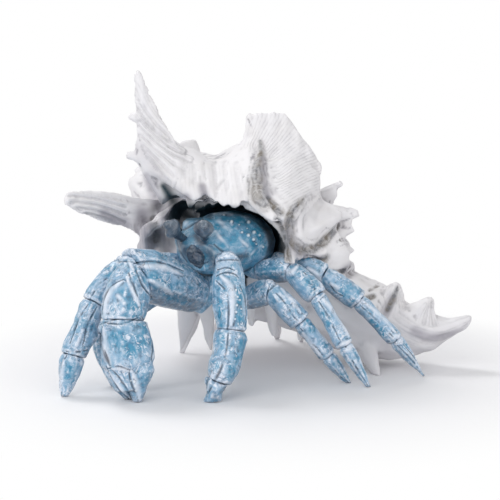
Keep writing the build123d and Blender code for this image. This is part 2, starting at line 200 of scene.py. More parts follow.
def flow_across(spots, guides):
    """How far each spot is across a row of guide lines, counted in lines, and 1 among them."""
    guides = [curved([(*corner, 0) for corner in guide]) for guide in guides]
    gaps = np.stack([path_gap(spots, guide) for guide in guides])
    apart = np.array(
        [path_gap(second[:, :2], first).mean() for first, second in zip(guides, guides[1:])]
    )
    both = gaps[:-1] + gaps[1:]
    first = (both / apart[:, None]).argmin(axis=0)
    row = np.arange(len(spots))
    count = first + gaps[first, row] / np.maximum(both[first, row], 1e-6)
    return count, rounded(2.1 - 1.15 * both[first, row] / apart[first])


def traced(spots, paths, spread=1.0, taper=0.0):
    """How near each spot of the picture is to the middle of a path, from 0 at its side to 1.

    A path is a row of corners, each with its place in the picture and half its width."""
    near = np.zeros(len(spots))
    for path in paths:
        places = curved(path)
        swell = np.sin(np.pi * np.linspace(0, 1, len(places)))
        places[:, 2] *= 1 - taper * (1 - swell)
        wide = places[:, 2].max() * spread
        low, high = places[:, :2].min(axis=0) - wide, places[:, :2].max(axis=0) + wide
        close = np.flatnonzero(((spots > low) & (spots < high)).all(axis=1))
        if not len(close):
            continue
        kept, here = near[close], spots[close]
        for start, end in zip(places, places[1:]):
            run = end[:2] - start[:2]
            off = here - start[:2]
            share = np.clip(off @ run / (run @ run), 0.0, 1.0)
            gap = np.linalg.norm(off - share[:, None] * run, axis=1)
            half = (start[2] + share * (end[2] - start[2])) * spread
            kept = np.maximum(kept, 1 - gap / np.maximum(half, 0.3))
        near[close] = kept
    return rounded(near)


def dotted(spots, dots):
    """How near each spot of the picture is to the middle of a dot, from 0 at its side to 1."""
    near = np.zeros(len(spots))
    for u, v, wide in dots:
        near = np.maximum(near, bump(np.linalg.norm(spots - (u, v), axis=1), wide))
    return near


def pulled(points, pulls):
    """The points after each pull has moved its part of the picture sideways and down.

    A pull is a place in the picture, how far it moves there and how wide it reaches."""
    points = points.copy()
    per_spot = SENSOR / PICTURE / bpy.context.scene.crab_studio.lens
    place, right, top, view = camera_frame()
    for u, v, across, down, reach in pulls:
        spots = in_picture(points)
        share = bump(np.linalg.norm(spots - (u, v), axis=1), reach)[:, None]
        size = ((points - place) @ view)[:, None] * per_spot
        points += share * size * (across * right - down * top)
    return points


def keep_values(piece, **layers):
    """Stores values at each point under their names, for the paint to read."""
    kept = piece.data.attributes
    for name, values in layers.items():
        layer = kept.get(name) or kept.new(name, "FLOAT", "POINT")
        layer.data.foreach_set("value", values.astype(np.float32))


def kept_values(piece, name):
    """The stored value at each point."""
    kept = np.empty(len(piece.data.vertices), np.float32)
    piece.data.attributes[name].data.foreach_get("value", kept)
    return kept


def raise_values(piece, name, values):
    """Raises a stored value to at least the given one at each point."""
    keep_values(piece, **{name: np.maximum(kept_values(piece, name), values)})


def scale_values(piece, name, share):
    """Makes a stored value weaker by a share at each point."""
    keep_values(piece, **{name: kept_values(piece, name) * share})


def place_at(u, v, deep):
    """The place behind a spot of the picture, at that distance towards the back."""
    place, right, top, view = camera_frame()
    scale = PICTURE * bpy.context.scene.crab_studio.lens / SENSOR
    ray = view + right * (u - PICTURE / 2) / scale - top * (v - PICTURE / 2) / scale
    return Vector(place + ray * (deep - place[1]) / ray[1])


def cast_from(parts, name, grid, fronds=()):
    """A closed copy of some CAD nodes on an even grid of that size, ready to be carved.

    A frond is a spine that joins them: its root and tip in the picture, depth and thickness."""
    form = bmesh.new()
    for part in parts:
        form.from_mesh(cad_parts[part].data)
    bmesh.ops.remove_doubles(form, verts=form.verts, dist=0.001 * MM)
    for u, v, tip_u, tip_v, deep, thick, blunt in fronds:
        root, tip = place_at(u, v, deep), place_at(tip_u, tip_v, deep)
        turn = (tip - root).to_track_quat("Z", "Y").to_matrix().to_4x4()
        bmesh.ops.create_cone(
            form,
            cap_ends=True,
            segments=16,
            radius1=thick,
            radius2=blunt,
            depth=(tip - root).length,
            matrix=Matrix.Translation((root + tip) / 2) @ turn,
        )
    mesh = bpy.data.meshes.new(name)
    form.to_mesh(mesh)
    form.free()
    piece = bpy.data.objects.new(name, mesh)
    bpy.context.scene.collection.objects.link(piece)
    even = piece.modifiers.new("Even grid", "REMESH")
    even.mode = "VOXEL"
    even.voxel_size = grid
    ready = piece.evaluated_get(bpy.context.evaluated_depsgraph_get())
    piece.data = bpy.data.meshes.new_from_object(ready)
    piece.data.name = name
    piece.modifiers.clear()
    return piece


def thin_out(piece, where, count):
    """Makes the grid coarser where it may be, until that many triangles are left."""
    group = piece.vertex_groups.new(name="Coarser")
    group.add([int(number) for number in np.flatnonzero(where)], 1.0, "REPLACE")
    piece.data.calc_loop_triangles()
    thin = piece.modifiers.new("Coarser grid", "DECIMATE")
    thin.ratio = min(1.0, count / len(piece.data.loop_triangles))
    thin.vertex_group = group.name
    name = piece.data.name
    ready = piece.evaluated_get(bpy.context.evaluated_depsgraph_get())
    piece.data = bpy.data.meshes.new_from_object(ready)
    piece.data.name = name
    piece.modifiers.clear()
    piece.vertex_groups.clear()


def read_relief(piece, near, far):
    """Stores how sunken and how proud each point lies against its surroundings."""
    points, edges, normals = points_of(piece), edges_of(piece), normals_of(piece)
    fine = relaxed(points, edges, near)
    broad = relaxed(fine, edges, far)
    fine_rise = ((points - fine) * normals).sum(axis=1)
    broad_rise = ((points - broad) * normals).sum(axis=1)
    rise = fine_rise / FINE_RISE + broad_rise / BROAD_RISE
    keep_values(piece, hollow=rounded(-rise * 0.5), proud=rounded(rise * 0.5))


def facing_crab(points, normals, reach):
    """1 for a point that looks at the crab's body from within the reach, and 0 for others."""
    form = bmesh.new()
    form.from_mesh(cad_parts["crab_body"].data)
    tree = BVHTree.FromBMesh(form)
    form.free()
    seen = np.zeros(len(points))
    for number, (point, normal) in enumerate(zip(points, normals)):
        hit = tree.ray_cast(Vector(point + normal * 0.3 * MM), Vector(normal), reach)
        if hit[0] is not None:
            seen[number] = 1.0
    return seen


def finish_piece(piece, paint, parts):
    """Gives the piece its paint, smooth shading and its place in the figure."""
    piece.data.materials.clear()
    piece.data.materials.append(paint)
    piece.data.polygons.foreach_set("use_smooth", [True] * len(piece.data.polygons))
    piece.data.update()
    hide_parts(*parts)
    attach(piece, "root")


# Where the limbs run


def middle_of(node):
    """The middle of a CAD node's box."""
    low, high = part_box(node)
    return np.array((low + high) / 2)


def run_of(points, towards):
    """The start and end of a long form, the start being the end nearer to that place."""
    centre = points.mean(axis=0)
    direction = np.linalg.svd(points - centre, full_matrices=False)[2][0]
    reach = (points - centre) @ direction
    start, end = centre + direction * reach.min(), centre + direction * reach.max()
    if np.linalg.norm(end - towards) < np.linalg.norm(start - towards):
        start, end = end, start
    return start, end


def along(points, start, end):
    """How far each point is along a run and its angle about it.

    The angle is 0 on the upper or right side and a quarter turn back on the viewer's side."""
    direction = end - start
    length = np.linalg.norm(direction)
    direction = direction / length
    share = (points - start) @ direction / length
    side = np.cross(direction, (0.0, 1.0, 0.0))
    side = side / max(np.linalg.norm(side), 1e-9)
    if side[2] < -0.3:
        side = -side
    front = np.cross(side, direction)
    if front[1] > 0:
        front = -front
    off = (points - start) - np.outer((points - start) @ direction, direction)
    return share, np.arctan2(off @ front, off @ side)


def furrow_depth(part, turn, share):
    """How deep the lengthwise furrows are at each angle, in metres."""
    depth = np.zeros(len(turn))
    for start, turns, deep in FURROWS:
        if part.startswith(start):
            for at in turns:
                gap = np.abs((turn - at + np.pi) % (2 * np.pi) - np.pi)
                depth = np.maximum(depth, bump(gap, 0.24) * deep)
            break
    ends = rounded(share / 0.12) * rounded((1 - share) / 0.12)
    return depth * MM * ends


# Node groups


def new_group(name, inputs, outputs):
    """An empty shader node group with those sockets."""
    tree = bpy.data.node_groups.new(name, "ShaderNodeTree")
    for label, kind, value in inputs:
        socket = tree.interface.new_socket(
            name=label, in_out="INPUT", socket_type=kind
        )
        socket.default_value = value
    for label, kind in outputs:
        tree.interface.new_socket(name=label, in_out="OUTPUT", socket_type=kind)
    return tree, tree.nodes.new("NodeGroupInput"), tree.nodes.new("NodeGroupOutput")


def node(tree, kind, **settings):
    """A node with its settings, and with values for the inputs named by their labels."""
    made = tree.nodes.new(kind)
    values = settings.pop("values", {})
    for key, value in settings.items():
        setattr(made, key, value)
    for label, value in values.items():
        if isinstance(value, bpy.types.NodeSocket):
            tree.links.new(value, made.inputs[label])
        else:
            made.inputs[label].default_value = value
    return made


def object_place(tree):
    """Where each point lies in the piece's own frame."""
    return node(tree, "ShaderNodeTexCoord").outputs["Object"]


def maths(tree, operation, first, second=0.0, clamp=False):
    """The result of a sum on two values."""
    made = node(
        tree,
        "ShaderNodeMath",
        operation=operation,
        use_clamp=clamp,
        values={0: first, 1: second},
    )
    return made.outputs[0]


def ramp(tree, value, low, high):
    """A value spread softly to run from 0 at low to 1 at high."""
    made = node(
        tree,
        "ShaderNodeMapRange",
        interpolation_type="SMOOTHSTEP",
        values={"Value": value, "From Min": low, "From Max": high},
    )
    return made.outputs["Result"]


def mixed(tree, share, first, second):
    """Two colours mixed by a share."""
    made = node(tree, "ShaderNodeMix", data_type="RGBA")
    for socket, value in ((0, share), (6, first), (7, second)):
        if isinstance(value, bpy.types.NodeSocket):
            tree.links.new(value, made.inputs[socket])
        elif socket == 0:
            made.inputs[socket].default_value = value
        else:
            made.inputs[socket].default_value = (*value[:3], 1.0)
    return made.outputs[2]


def cloud(tree, vector, scale, detail=4.0, roughness=0.55, distortion=0.0):
    """Cloudy noise from 0 to 1."""
    made = node(
        tree,
        "ShaderNodeTexNoise",
        values={
            "Vector": vector,
            "Scale": scale,
            "Detail": detail,
            "Roughness": roughness,
            "Distortion": distortion,
        },
    )
    return made.outputs["Fac"]


def brushwork_group():
    """Masks for a dark wash that stays in hollows, with painted shade under the limbs in the
    same mask, and a dry brush on what stands proud.
    """
    tree, given, out = new_group(
        "Hand brushwork",
        [
            ("Wash", "NodeSocketFloat", 1.0),
            ("Brush", "NodeSocketFloat", 1.0),
            ("Stroke Scale", "NodeSocketFloat", 260.0),
        ],
        [
            ("Wash", "NodeSocketFloat"),
            ("Brush", "NodeSocketFloat"),
            ("Patches", "NodeSocketFloat"),
        ],
    )
    place = object_place(tree)
    # The wash mask: how hollow each point is, and on the limbs painted shade on their
    # undersides
    hollow = node(tree, "ShaderNodeAttribute", attribute_name="hollow").outputs["Fac"]
    proud = node(tree, "ShaderNodeAttribute", attribute_name="proud").outputs["Fac"]
    strokes = cloud(tree, place, given.outputs["Stroke Scale"], 5.0, 0.65, 0.6)
    coarse = maths(tree, "MULTIPLY", given.outputs["Stroke Scale"], 0.3)
    patches = cloud(tree, place, coarse, 4.0, 0.6, 0.9)
    uneven = ramp(tree, strokes, 0.3, 0.62)
    wash = maths(tree, "MULTIPLY", hollow, maths(tree, "ADD", 0.55, uneven))
    wash = maths(tree, "MULTIPLY", wash, given.outputs["Wash"], clamp=True)
    loose = ramp(tree, patches, 0.48, 0.68)
    streak = ramp(tree, strokes, 0.42, 0.6)
    brush = maths(tree, "MULTIPLY", loose, streak)
    edge = maths(tree, "MULTIPLY", proud, maths(tree, "ADD", 0.35, streak))
    brush = maths(tree, "MAXIMUM", brush, edge)
    brush = maths(tree, "MULTIPLY", brush, given.outputs["Brush"], clamp=True)
    tree.links.new(wash, out.inputs["Wash"])
    tree.links.new(brush, out.inputs["Brush"])
    tree.links.new(patches, out.inputs["Patches"])
    return tree


def grain_group():
    """The casting's surface as a normal: a soft unevenness under a fine grain and pits."""
    tree, given, out = new_group(
        "Cast surface",
        [
            ("Scale", "NodeSocketFloat", 900.0),
            ("Depth", "NodeSocketFloat", 0.2),
        ],
        [("Normal", "NodeSocketVector")],
    )
    place = object_place(tree)
    fine = cloud(tree, place, given.outputs["Scale"], 5.0, 0.6)
    broad = cloud(
        tree, place, maths(tree, "MULTIPLY", given.outputs["Scale"], 0.28), 3.0
    )
    pits = node(
        tree,
        "ShaderNodeTexVoronoi",
        values={
            "Vector": place,
            "Scale": maths(tree, "MULTIPLY", given.outputs["Scale"], 0.5),
        },
    ).outputs["Distance"]
    pitted = ramp(tree, pits, 0.05, 0.3)
    height = maths(tree, "ADD", maths(tree, "MULTIPLY", fine, 0.5), broad)
    height = maths(tree, "ADD", height, maths(tree, "MULTIPLY", pitted, 0.25))
    relief = node(
        tree,
        "ShaderNodeBump",
        values={
            "Strength": given.outputs["Depth"],
            "Distance": 0.6 * MM,
            "Height": height,
        },
    )
    tree.links.new(relief.outputs["Normal"], out.inputs["Normal"])
    return tree


def growth_group():
    """Fine growth lines along the piece's own flow, from 0 in a line to 1 between lines."""
    tree, given, out = new_group(
        "Growth lines",
        [("Sway", "NodeSocketFloat", 0.5), ("Broken", "NodeSocketFloat", 0.7)],
        [("Lines", "NodeSocketFloat")],
    )
    place = object_place(tree)
    flow = node(tree, "ShaderNodeAttribute", attribute_name="flow").outputs["Fac"]
    sway = maths(tree, "MULTIPLY", cloud(tree, place, 130.0, 2.0), given.outputs["Sway"])
    phase = maths(tree, "MULTIPLY", maths(tree, "ADD", flow, sway), math.pi)
    lines = maths(tree, "POWER", maths(tree, "ABSOLUTE", maths(tree, "SINE", phase)), 0.6)
    broken = ramp(tree, cloud(tree, place, 170.0, 3.0), 0.4, 0.62)
    broken = maths(tree, "MULTIPLY", broken, given.outputs["Broken"])
    tree.links.new(mixed_value(tree, broken, lines, 1.0), out.inputs["Lines"])
    return tree


def cord_group():
    """Lines round the shell, across its axis, from 0 in a line to 1 between lines."""
    tree, given, out = new_group(
        "Cords",
        [
            ("Axis", "NodeSocketVector", (1.0, 0.0, 0.0)),
            ("Count", "NodeSocketFloat", 1500.0),
        ],
        [("Lines", "NodeSocketFloat")],
    )
    place = object_place(tree)
    along_axis = node(
        tree,
        "ShaderNodeVectorMath",
        operation="DOT_PRODUCT",
        values={0: place, 1: given.outputs["Axis"]},
    ).outputs["Value"]
    sway = maths(tree, "MULTIPLY", cloud(tree, place, 60.0, 2.0), 8.0)
    phase = maths(
        tree, "ADD", maths(tree, "MULTIPLY", along_axis, given.outputs["Count"]), sway
    )
    lines = maths(tree, "POWER", maths(tree, "ABSOLUTE", maths(tree, "SINE", phase)), 0.6)
    tree.links.new(lines, out.inputs["Lines"])
    return tree


def mixed_value(tree, share, first, second):
    """Two values mixed by a share."""
    made = node(tree, "ShaderNodeMix", data_type="FLOAT")
    for socket, value in ((0, share), (2, first), (3, second)):
        if isinstance(value, bpy.types.NodeSocket):
            tree.links.new(value, made.inputs[socket])
        else:
            made.inputs[socket].default_value = value
    return made.outputs[0]


def shared(name, build):
    """A node group, built the first time that it is asked for."""
    return bpy.data.node_groups.get(name) or build()


def placed_group(tree, group, **values):
    """A node group set into a material with its own values."""
    made = tree.nodes.new("ShaderNodeGroup")
    made.node_tree = group
    for label, value in values.items():
        made.inputs[label.replace("_", " ")].default_value = value
    return made


def attribute(tree, name):
    """A value stored at the points of a piece."""
    return node(tree, "ShaderNodeAttribute", attribute_name=name).outputs["Fac"]


def patchy(tree, work, least, more):
    """A value that drifts from the least up with the brushwork's patches."""
    return maths(tree, "ADD", least, maths(tree, "MULTIPLY", work.outputs["Patches"], more))


def either_shader(tree, share, first, second, output):
    """Sends two shaders, mixed by a share, to an output."""
    mix = node(tree, "ShaderNodeMixShader", values={0: share, 1: first, 2: second})
    tree.links.new(mix.outputs[0], tree.nodes[output].inputs["Surface"])


def new_paint(name):
    """An empty material with its surface shader."""
    paint = bpy.data.materials.new(name)
    paint.use_nodes = True
    return paint, paint.node_tree, paint.node_tree.nodes["Principled BSDF"]


def crab_paint(name, middle, settings, teal_share=1.0, brush=1.0, veiled=0.55):
    """Acrylic over resin: teal panels on grey blue, pale ridges that are partly painted
    highlights, mottling, dark outlines, and a wash and dark lines that also paint shade.
    """
    paint, tree, surface = new_paint(name)
    work = placed_group(
        tree,
        shared("Hand brushwork", brushwork_group),
        Wash=1.0,
        Brush=0.75 * brush,
        Stroke_Scale=430.0,
    )
    place = object_place(tree)
    veil = ramp(tree, cloud(tree, place, 85.0, 3.0, 0.5, 0.4), 0.4, 0.65)
    colour = mixed(
        tree, maths(tree, "MULTIPLY", veil, veiled), middle, settings.light_blue
    )
    blotch = cloud(tree, place, 190.0, 5.0, 0.62, 0.9)
    panel = ramp(tree, blotch, 0.4, 0.55)
    loose = ramp(tree, cloud(tree, place, 120.0, 3.0, 0.5, 0.5), 0.46, 0.6)
    panel = maths(
        tree,
        "MULTIPLY",
        maths(tree, "ADD", 0.5, panel),
        maths(tree, "MAXIMUM", attribute(tree, "teal"), maths(tree, "MULTIPLY", loose, 0.55)),
    )
    panel = maths(tree, "MULTIPLY", panel, teal_share, clamp=True)
    colour = mixed(tree, panel, colour, settings.teal)
    deep = ramp(tree, cloud(tree, place, 260.0, 5.0, 0.65, 0.5), 0.5, 0.66)
    colour = mixed(
        tree, maths(tree, "MULTIPLY", deep, 0.72), colour, settings.deep_blue
    )
    mottle = ramp(tree, cloud(tree, place, 240.0, 6.0, 0.66, 2.2), 0.5, 0.6)
    where = ramp(tree, cloud(tree, place, 105.0, 3.0, 0.5, 0.6), 0.42, 0.6)
    mottle = maths(tree, "MULTIPLY", mottle, where)
    mottle = maths(tree, "MULTIPLY", mottle, 0.88 * brush)
    # Pale paint on the ridges, partly a painted highlight, with the mottling and the dry brush
    pale = maths(tree, "MULTIPLY", attribute(tree, "pale"), patchy(tree, work, 0.5, 0.7))
    pale = maths(tree, "MAXIMUM", pale, mottle)
    pale = maths(tree, "MAXIMUM", pale, work.outputs["Brush"])
    colour = mixed(tree, maths(tree, "MINIMUM", pale, 0.95), colour, settings.dry_brush)
    drawn = cloud(tree, place, 210.0, 3.0, 0.5, 0.8)
    drawn = maths(tree, "ABSOLUTE", maths(tree, "SUBTRACT", drawn, 0.5))
    drawn = ramp(tree, drawn, 0.022, 0.0)
    drawn = maths(tree, "MULTIPLY", drawn, ramp(tree, cloud(tree, place, 90.0), 0.45, 0.6))
    colour = mixed(
        tree, maths(tree, "MULTIPLY", drawn, 0.55 * brush), colour, settings.wash
    )
    # The wash and the dark lines, which also carry painted shade under the limbs and over the
    # face
    dark = maths(tree, "MULTIPLY", work.outputs["Wash"], 0.75)
    dark = maths(tree, "MAXIMUM", dark, attribute(tree, "line"))
    colour = mixed(tree, maths(tree, "MINIMUM", dark, 0.93), colour, settings.wash)
    colour = mixed(tree, attribute(tree, "dots"), colour, settings.dots)
    tree.links.new(colour, surface.inputs["Base Color"])
    tree.links.new(patchy(tree, work, 0.2, 0.25), surface.inputs["Roughness"])
    grain = placed_group(
        tree, shared("Cast surface", grain_group), Scale=1100.0, Depth=0.45
    )
    tree.links.new(grain.outputs["Normal"], surface.inputs["Normal"])
    surface.inputs["Coat Weight"].default_value = 0.35
    surface.inputs["Coat Roughness"].default_value = 0.16
    return paint


def shell_paint(settings):
    """White over grey resin: fine lines, grey recesses, worn furrows, lilac painted shade and a
    near black painted shadow in the mouth.
    """
    paint, tree, surface = new_paint("White resin")
    work = placed_group(
        tree,
        shared("Hand brushwork", brushwork_group),
        Wash=0.65,
        Brush=1.0,
        Stroke_Scale=300.0,
    )
    place = object_place(tree)
    tone = ramp(tree, cloud(tree, place, 55.0, 4.0, 0.6, 0.5), 0.4, 0.75)
    colour = mixed(
        tree, maths(tree, "MULTIPLY", tone, 0.3), settings.white, settings.warm_white
    )
    # Painted shade: lilac grey where the shade attribute is set
    shade = patchy(tree, work, 0.6, 0.5)
    shade = maths(tree, "MULTIPLY", attribute(tree, "shade"), shade, clamp=True)
    colour = mixed(tree, shade, colour, settings.shade_lilac)
    colour = mixed(tree, work.outputs["Wash"], colour, settings.shade)

    lines = placed_group(tree, shared("Growth lines", growth_group)).outputs["Lines"]
    height = mixed_value(tree, attribute(tree, "flowing"), 1.0, lines)
    cords = placed_group(tree, shared("Cords", cord_group), Count=1150.0)
    cords.inputs["Axis"].default_value = settings.axis
    height = maths(
        tree,
        "MULTIPLY",
        height,
        mixed_value(tree, attribute(tree, "cords"), 1.0, cords.outputs["Lines"]),
    )
    furrow = maths(tree, "MULTIPLY", maths(tree, "SUBTRACT", 1.0, height), 0.42)
    colour = mixed(tree, furrow, colour, settings.shade)

    weather = attribute(tree, "weathered")
    mottle = ramp(tree, cloud(tree, place, 300.0, 6.0, 0.66, 1.2), 0.36, 0.62)
    mottle = maths(tree, "MULTIPLY", mottle, 0.45)
    weather = maths(
        tree, "MULTIPLY", weather, maths(tree, "ADD", 0.62, mottle), clamp=True
    )
    browned = ramp(tree, cloud(tree, place, 150.0, 3.0), 0.42, 0.62)
    worn = mixed(tree, browned, settings.weathered, settings.rusty)
    colour = mixed(tree, weather, colour, worn)
    # Painted shadow in the shell's mouth, near black with some blue green
    depth = ramp(tree, cloud(tree, place, 60.0, 3.0), 0.35, 0.7)
    dark = mixed(tree, depth, settings.inside, settings.mouth_shadow_blue)
    colour = mixed(tree, attribute(tree, "inside"), colour, dark)
    tree.links.new(colour, surface.inputs["Base Color"])
    tree.links.new(patchy(tree, work, 0.5, 0.25), surface.inputs["Roughness"])
    surface.inputs["Specular IOR Level"].default_value = 0.3
    grain = placed_group(
        tree, shared("Cast surface", grain_group), Scale=650.0, Depth=0.22
    )
    relief = node(
        tree,
        "ShaderNodeBump",
        values={
            "Strength": 0.55,
            "Distance": 0.5 * MM,
            "Height": height,
            "Normal": grain.outputs["Normal"],
        },
    )
    tree.links.new(relief.outputs["Normal"], surface.inputs["Normal"])
    return paint


def seen_directly(tree):
    """1 for what the camera sees, also in a reflection or through glass, and 0 for light."""
    path = node(tree, "ShaderNodeLightPath")
    shown = maths(
        tree, "MAXIMUM", path.outputs["Is Camera Ray"], path.outputs["Is Glossy Ray"]
    )
    return maths(tree, "MAXIMUM", shown, path.outputs["Is Transmission Ray"])


def paper_paint(settings):
    """Studio paper that keeps the figure's shadow and fades to plain white away from it."""
    paper, tree, surface = new_paint("Paper")
    place = object_place(tree)
    grain = cloud(tree, place, 900.0, 3.0)
    colour = mixed(
        tree,
        maths(tree, "MULTIPLY", grain, 0.04),
        settings.floor,
        (0.7, 0.7, 0.72),
    )
    tree.links.new(colour, surface.inputs["Base Color"])
    surface.inputs["Roughness"].default_value = 0.75
    length = node(
        tree, "ShaderNodeVectorMath", operation="LENGTH", values={0: place}
    ).outputs["Value"]
    fade = ramp(tree, length, settings.fade_start, settings.fade_end)
    white = node(tree, "ShaderNodeEmission", values={"Strength": 1.0})
    share = maths(tree, "MULTIPLY", fade, seen_directly(tree))
    either_shader(tree, share, surface.outputs[0], white.outputs[0], "Material Output")
    return paper


# Settings


class ShellSettings(bpy.types.PropertyGroup):
    """Sizes and colours of the shell."""

    grid: bpy.props.FloatProperty(
        name="Grid",
        description="Spacing of the points that the shell is carved on",
        default=0.9 * MM,
        unit="LENGTH",
        precision=5,
    )
    ridge: bpy.props.FloatProperty(
        name="Ridge height",
        description="How far the ridges stand from the shell",
        default=0.55 * MM,
        unit="LENGTH",
        precision=5,
    )
    axis: bpy.props.FloatVectorProperty(
        name="Axis",
        description="The way that the shell runs from its spire to its tail",
        default=(0.874, -0.344, -0.339),
        subtype="DIRECTION",
    )
    white: bpy.props.FloatVectorProperty(
        name="White",
        description="The shell's main colour",
        default=(0.84, 0.83, 0.85),
        subtype="COLOR",
    )
    warm_white: bpy.props.FloatVectorProperty(
        name="Warm white",
        description="The creamier patches on the shell",
        default=(0.78, 0.75, 0.72),
        subtype="COLOR",
    )
    shade: bpy.props.FloatVectorProperty(
        name="Shade",
        description="The grey wash in the shell's hollows",
        default=(0.27, 0.26, 0.29),
        subtype="COLOR",
    )
    # The colour of the painted shade on the shell's lower side and its shaded walls
    shade_lilac: bpy.props.FloatVectorProperty(
        name="Lilac grey",
        description="The cool grey of the shell's recesses and lower side",
        default=(0.4, 0.385, 0.43),
        subtype="COLOR",
    )
    weathered: bpy.props.FloatVectorProperty(
        name="Weathered",
        description="The brown grey of the shell's old lip edges",
        default=(0.19, 0.195, 0.21),
        subtype="COLOR",
    )
    rusty: bpy.props.FloatVectorProperty(
        name="Rusty",
        description="The warmer brown in the old lip edges",
        default=(0.21, 0.19, 0.165),
        subtype="COLOR",
    )
    # The colours of the painted shadow in the shell's mouth, near black and blue green
    inside: bpy.props.FloatVectorProperty(
        name="Inside",
        description="The dark of the shell's mouth",
        default=(0.008, 0.014, 0.02),
        subtype="COLOR",
    )
    mouth_shadow_blue: bpy.props.FloatVectorProperty(
        name="Inside glow",
        description="The blue green that shows in the shell's mouth",
        default=(0.02, 0.045, 0.06),
        subtype="COLOR",
    )


class CrabSettings(bpy.types.PropertyGroup):
    """Sizes and colours of the crab."""

    grid: bpy.props.FloatProperty(
        name="Grid",
        description="Spacing of the points that the limbs are carved on",
        default=0.45 * MM,
        unit="LENGTH",
        precision=5,
    )
    middle_blue: bpy.props.FloatVectorProperty(
        name="Middle blue",
        description="The crab's main colour",
        default=(0.19, 0.38, 0.56),
        subtype="COLOR",
    )
    light_blue: bpy.props.FloatVectorProperty(
        name="Light blue",
        description="The paler blue that drifts over the main colour",
        default=(0.42, 0.56, 0.72),
        subtype="COLOR",
    )
    deep_blue: bpy.props.FloatVectorProperty(
        name="Deep blue",
        description="The strongest blue on the crab",
        default=(0.05, 0.14, 0.26),
        subtype="COLOR",
    )
    teal: bpy.props.FloatVectorProperty(
        name="Teal",
        description="The bright blue green in the middle of the panels",
        default=(0.03, 0.25, 0.42),
        subtype="COLOR",
    )
    dots: bpy.props.FloatVectorProperty(
        name="Dots",
        description="The white of the small tubercles",
        default=(0.8, 0.85, 0.9),
        subtype="COLOR",
    )
    # Also the colour of the painted highlights on the pale ridges
    dry_brush: bpy.props.FloatVectorProperty(
        name="Dry brush",
        description="The near white brushed over what stands proud",
        default=(0.78, 0.83, 0.92),
        subtype="COLOR",
    )
    # Also the colour of the painted shade under the limbs and over the face
    wash: bpy.props.FloatVectorProperty(
        name="Wash",
        description="The dark blue grey that lies in the hollows",
        default=(0.022, 0.034, 0.062),
        subtype="COLOR",
    )
    body_blue: bpy.props.FloatVectorProperty(
        name="Body blue",
        description="The main colour of the carapace",
        default=(0.14, 0.33, 0.5),
        subtype="COLOR",
    )
    face_grey: bpy.props.FloatVectorProperty(
        name="Face grey",
        description="The dark grey of the eyes and mouth",
        default=(0.03, 0.045, 0.065),
        subtype="COLOR",
    )


class StudioSettings(bpy.types.PropertyGroup):
    """The camera, floor and lamps."""

    distance: bpy.props.FloatProperty(
        name="Distance",
        description="From the camera to the point that it looks at",
        default=548.8 * MM,
        unit="LENGTH",
    )
    target: bpy.props.FloatVectorProperty(
        name="Target",
        description="The point that the camera looks at",
        default=(-9.99 * MM, -9.82 * MM, 63.7 * MM),
        subtype="TRANSLATION",
        unit="LENGTH",
        precision=5,
    )
    tilt: bpy.props.FloatProperty(
        name="Tilt",
        description="The camera's angle above the floor",
        default=math.radians(6.0),
        subtype="ANGLE",
    )
    lens: bpy.props.FloatProperty(
        name="Lens",
        description="The camera's focal length in millimetres",
        default=70.56,
    )
    floor: bpy.props.FloatVectorProperty(
        name="Floor",
        description="The colour of the paper floor",
        default=(0.95, 0.95, 0.97),
        subtype="COLOR",
    )
    fade_start: bpy.props.FloatProperty(
        name="Fade start",
        description="How far from the figure's middle the floor begins to fade to white",
        default=0.11,
        unit="LENGTH",
    )
    fade_end: bpy.props.FloatProperty(
        name="Fade end",
        description="How far from the figure's middle the floor is plain white",
        default=0.21,
        unit="LENGTH",
    )
    sky: bpy.props.FloatProperty(
        name="Sky",
        description="How strongly the room lights the figure from all sides",
        default=0.5,
    )


# The shell's tables


SHELL_PARTS = (
    "shell_body",
    "shell_horn",
    "shell_side_horn",
    "shell_fan",
    "shell_rear_horn",
    "shell_tail",
)
# How high and how deep the shell is carved, in millimetres
LUMP_HEIGHT = 1.2
RIDGE_HEIGHT = 0.6
FURROW_DEPTH = 0.7
RECESS_DEPTH = 1.3
SWELL_HEIGHT = 1.5
FIN_HEIGHT = 1.5
# How many times the points of its smooth parts are relaxed, and how squarely a surface has to
# face the camera to take the paint of the recesses
CALM_TIMES = 70
WORN_FACING = 0.28

# A path over the picture is a row of places, each with half the path's width there

# Single deep furrows of the lip, the left wall and the tail
SHELL_FURROWS = (
    ((200, 176, 3), (202, 187, 4), (204, 198, 5)),
    ((225, 179, 1.5), (218, 188, 3), (215, 197, 3)),
    ((178, 178, 2), (174, 188, 3)),
    ((266, 205, 3), (274, 208, 2.5), (278, 216, 3)),
    ((74, 189, 2), (80, 192, 3)),
    ((248, 119, 2), (252, 128, 1.5)),
    ((416, 336, 4), (424, 341, 6), (434, 340, 6), (452, 336, 6), (462, 332, 5), (471, 322, 4)),
    ((378, 300, 2), (383, 308, 2)),
    ((384, 297, 2), (387, 309, 3)),
)
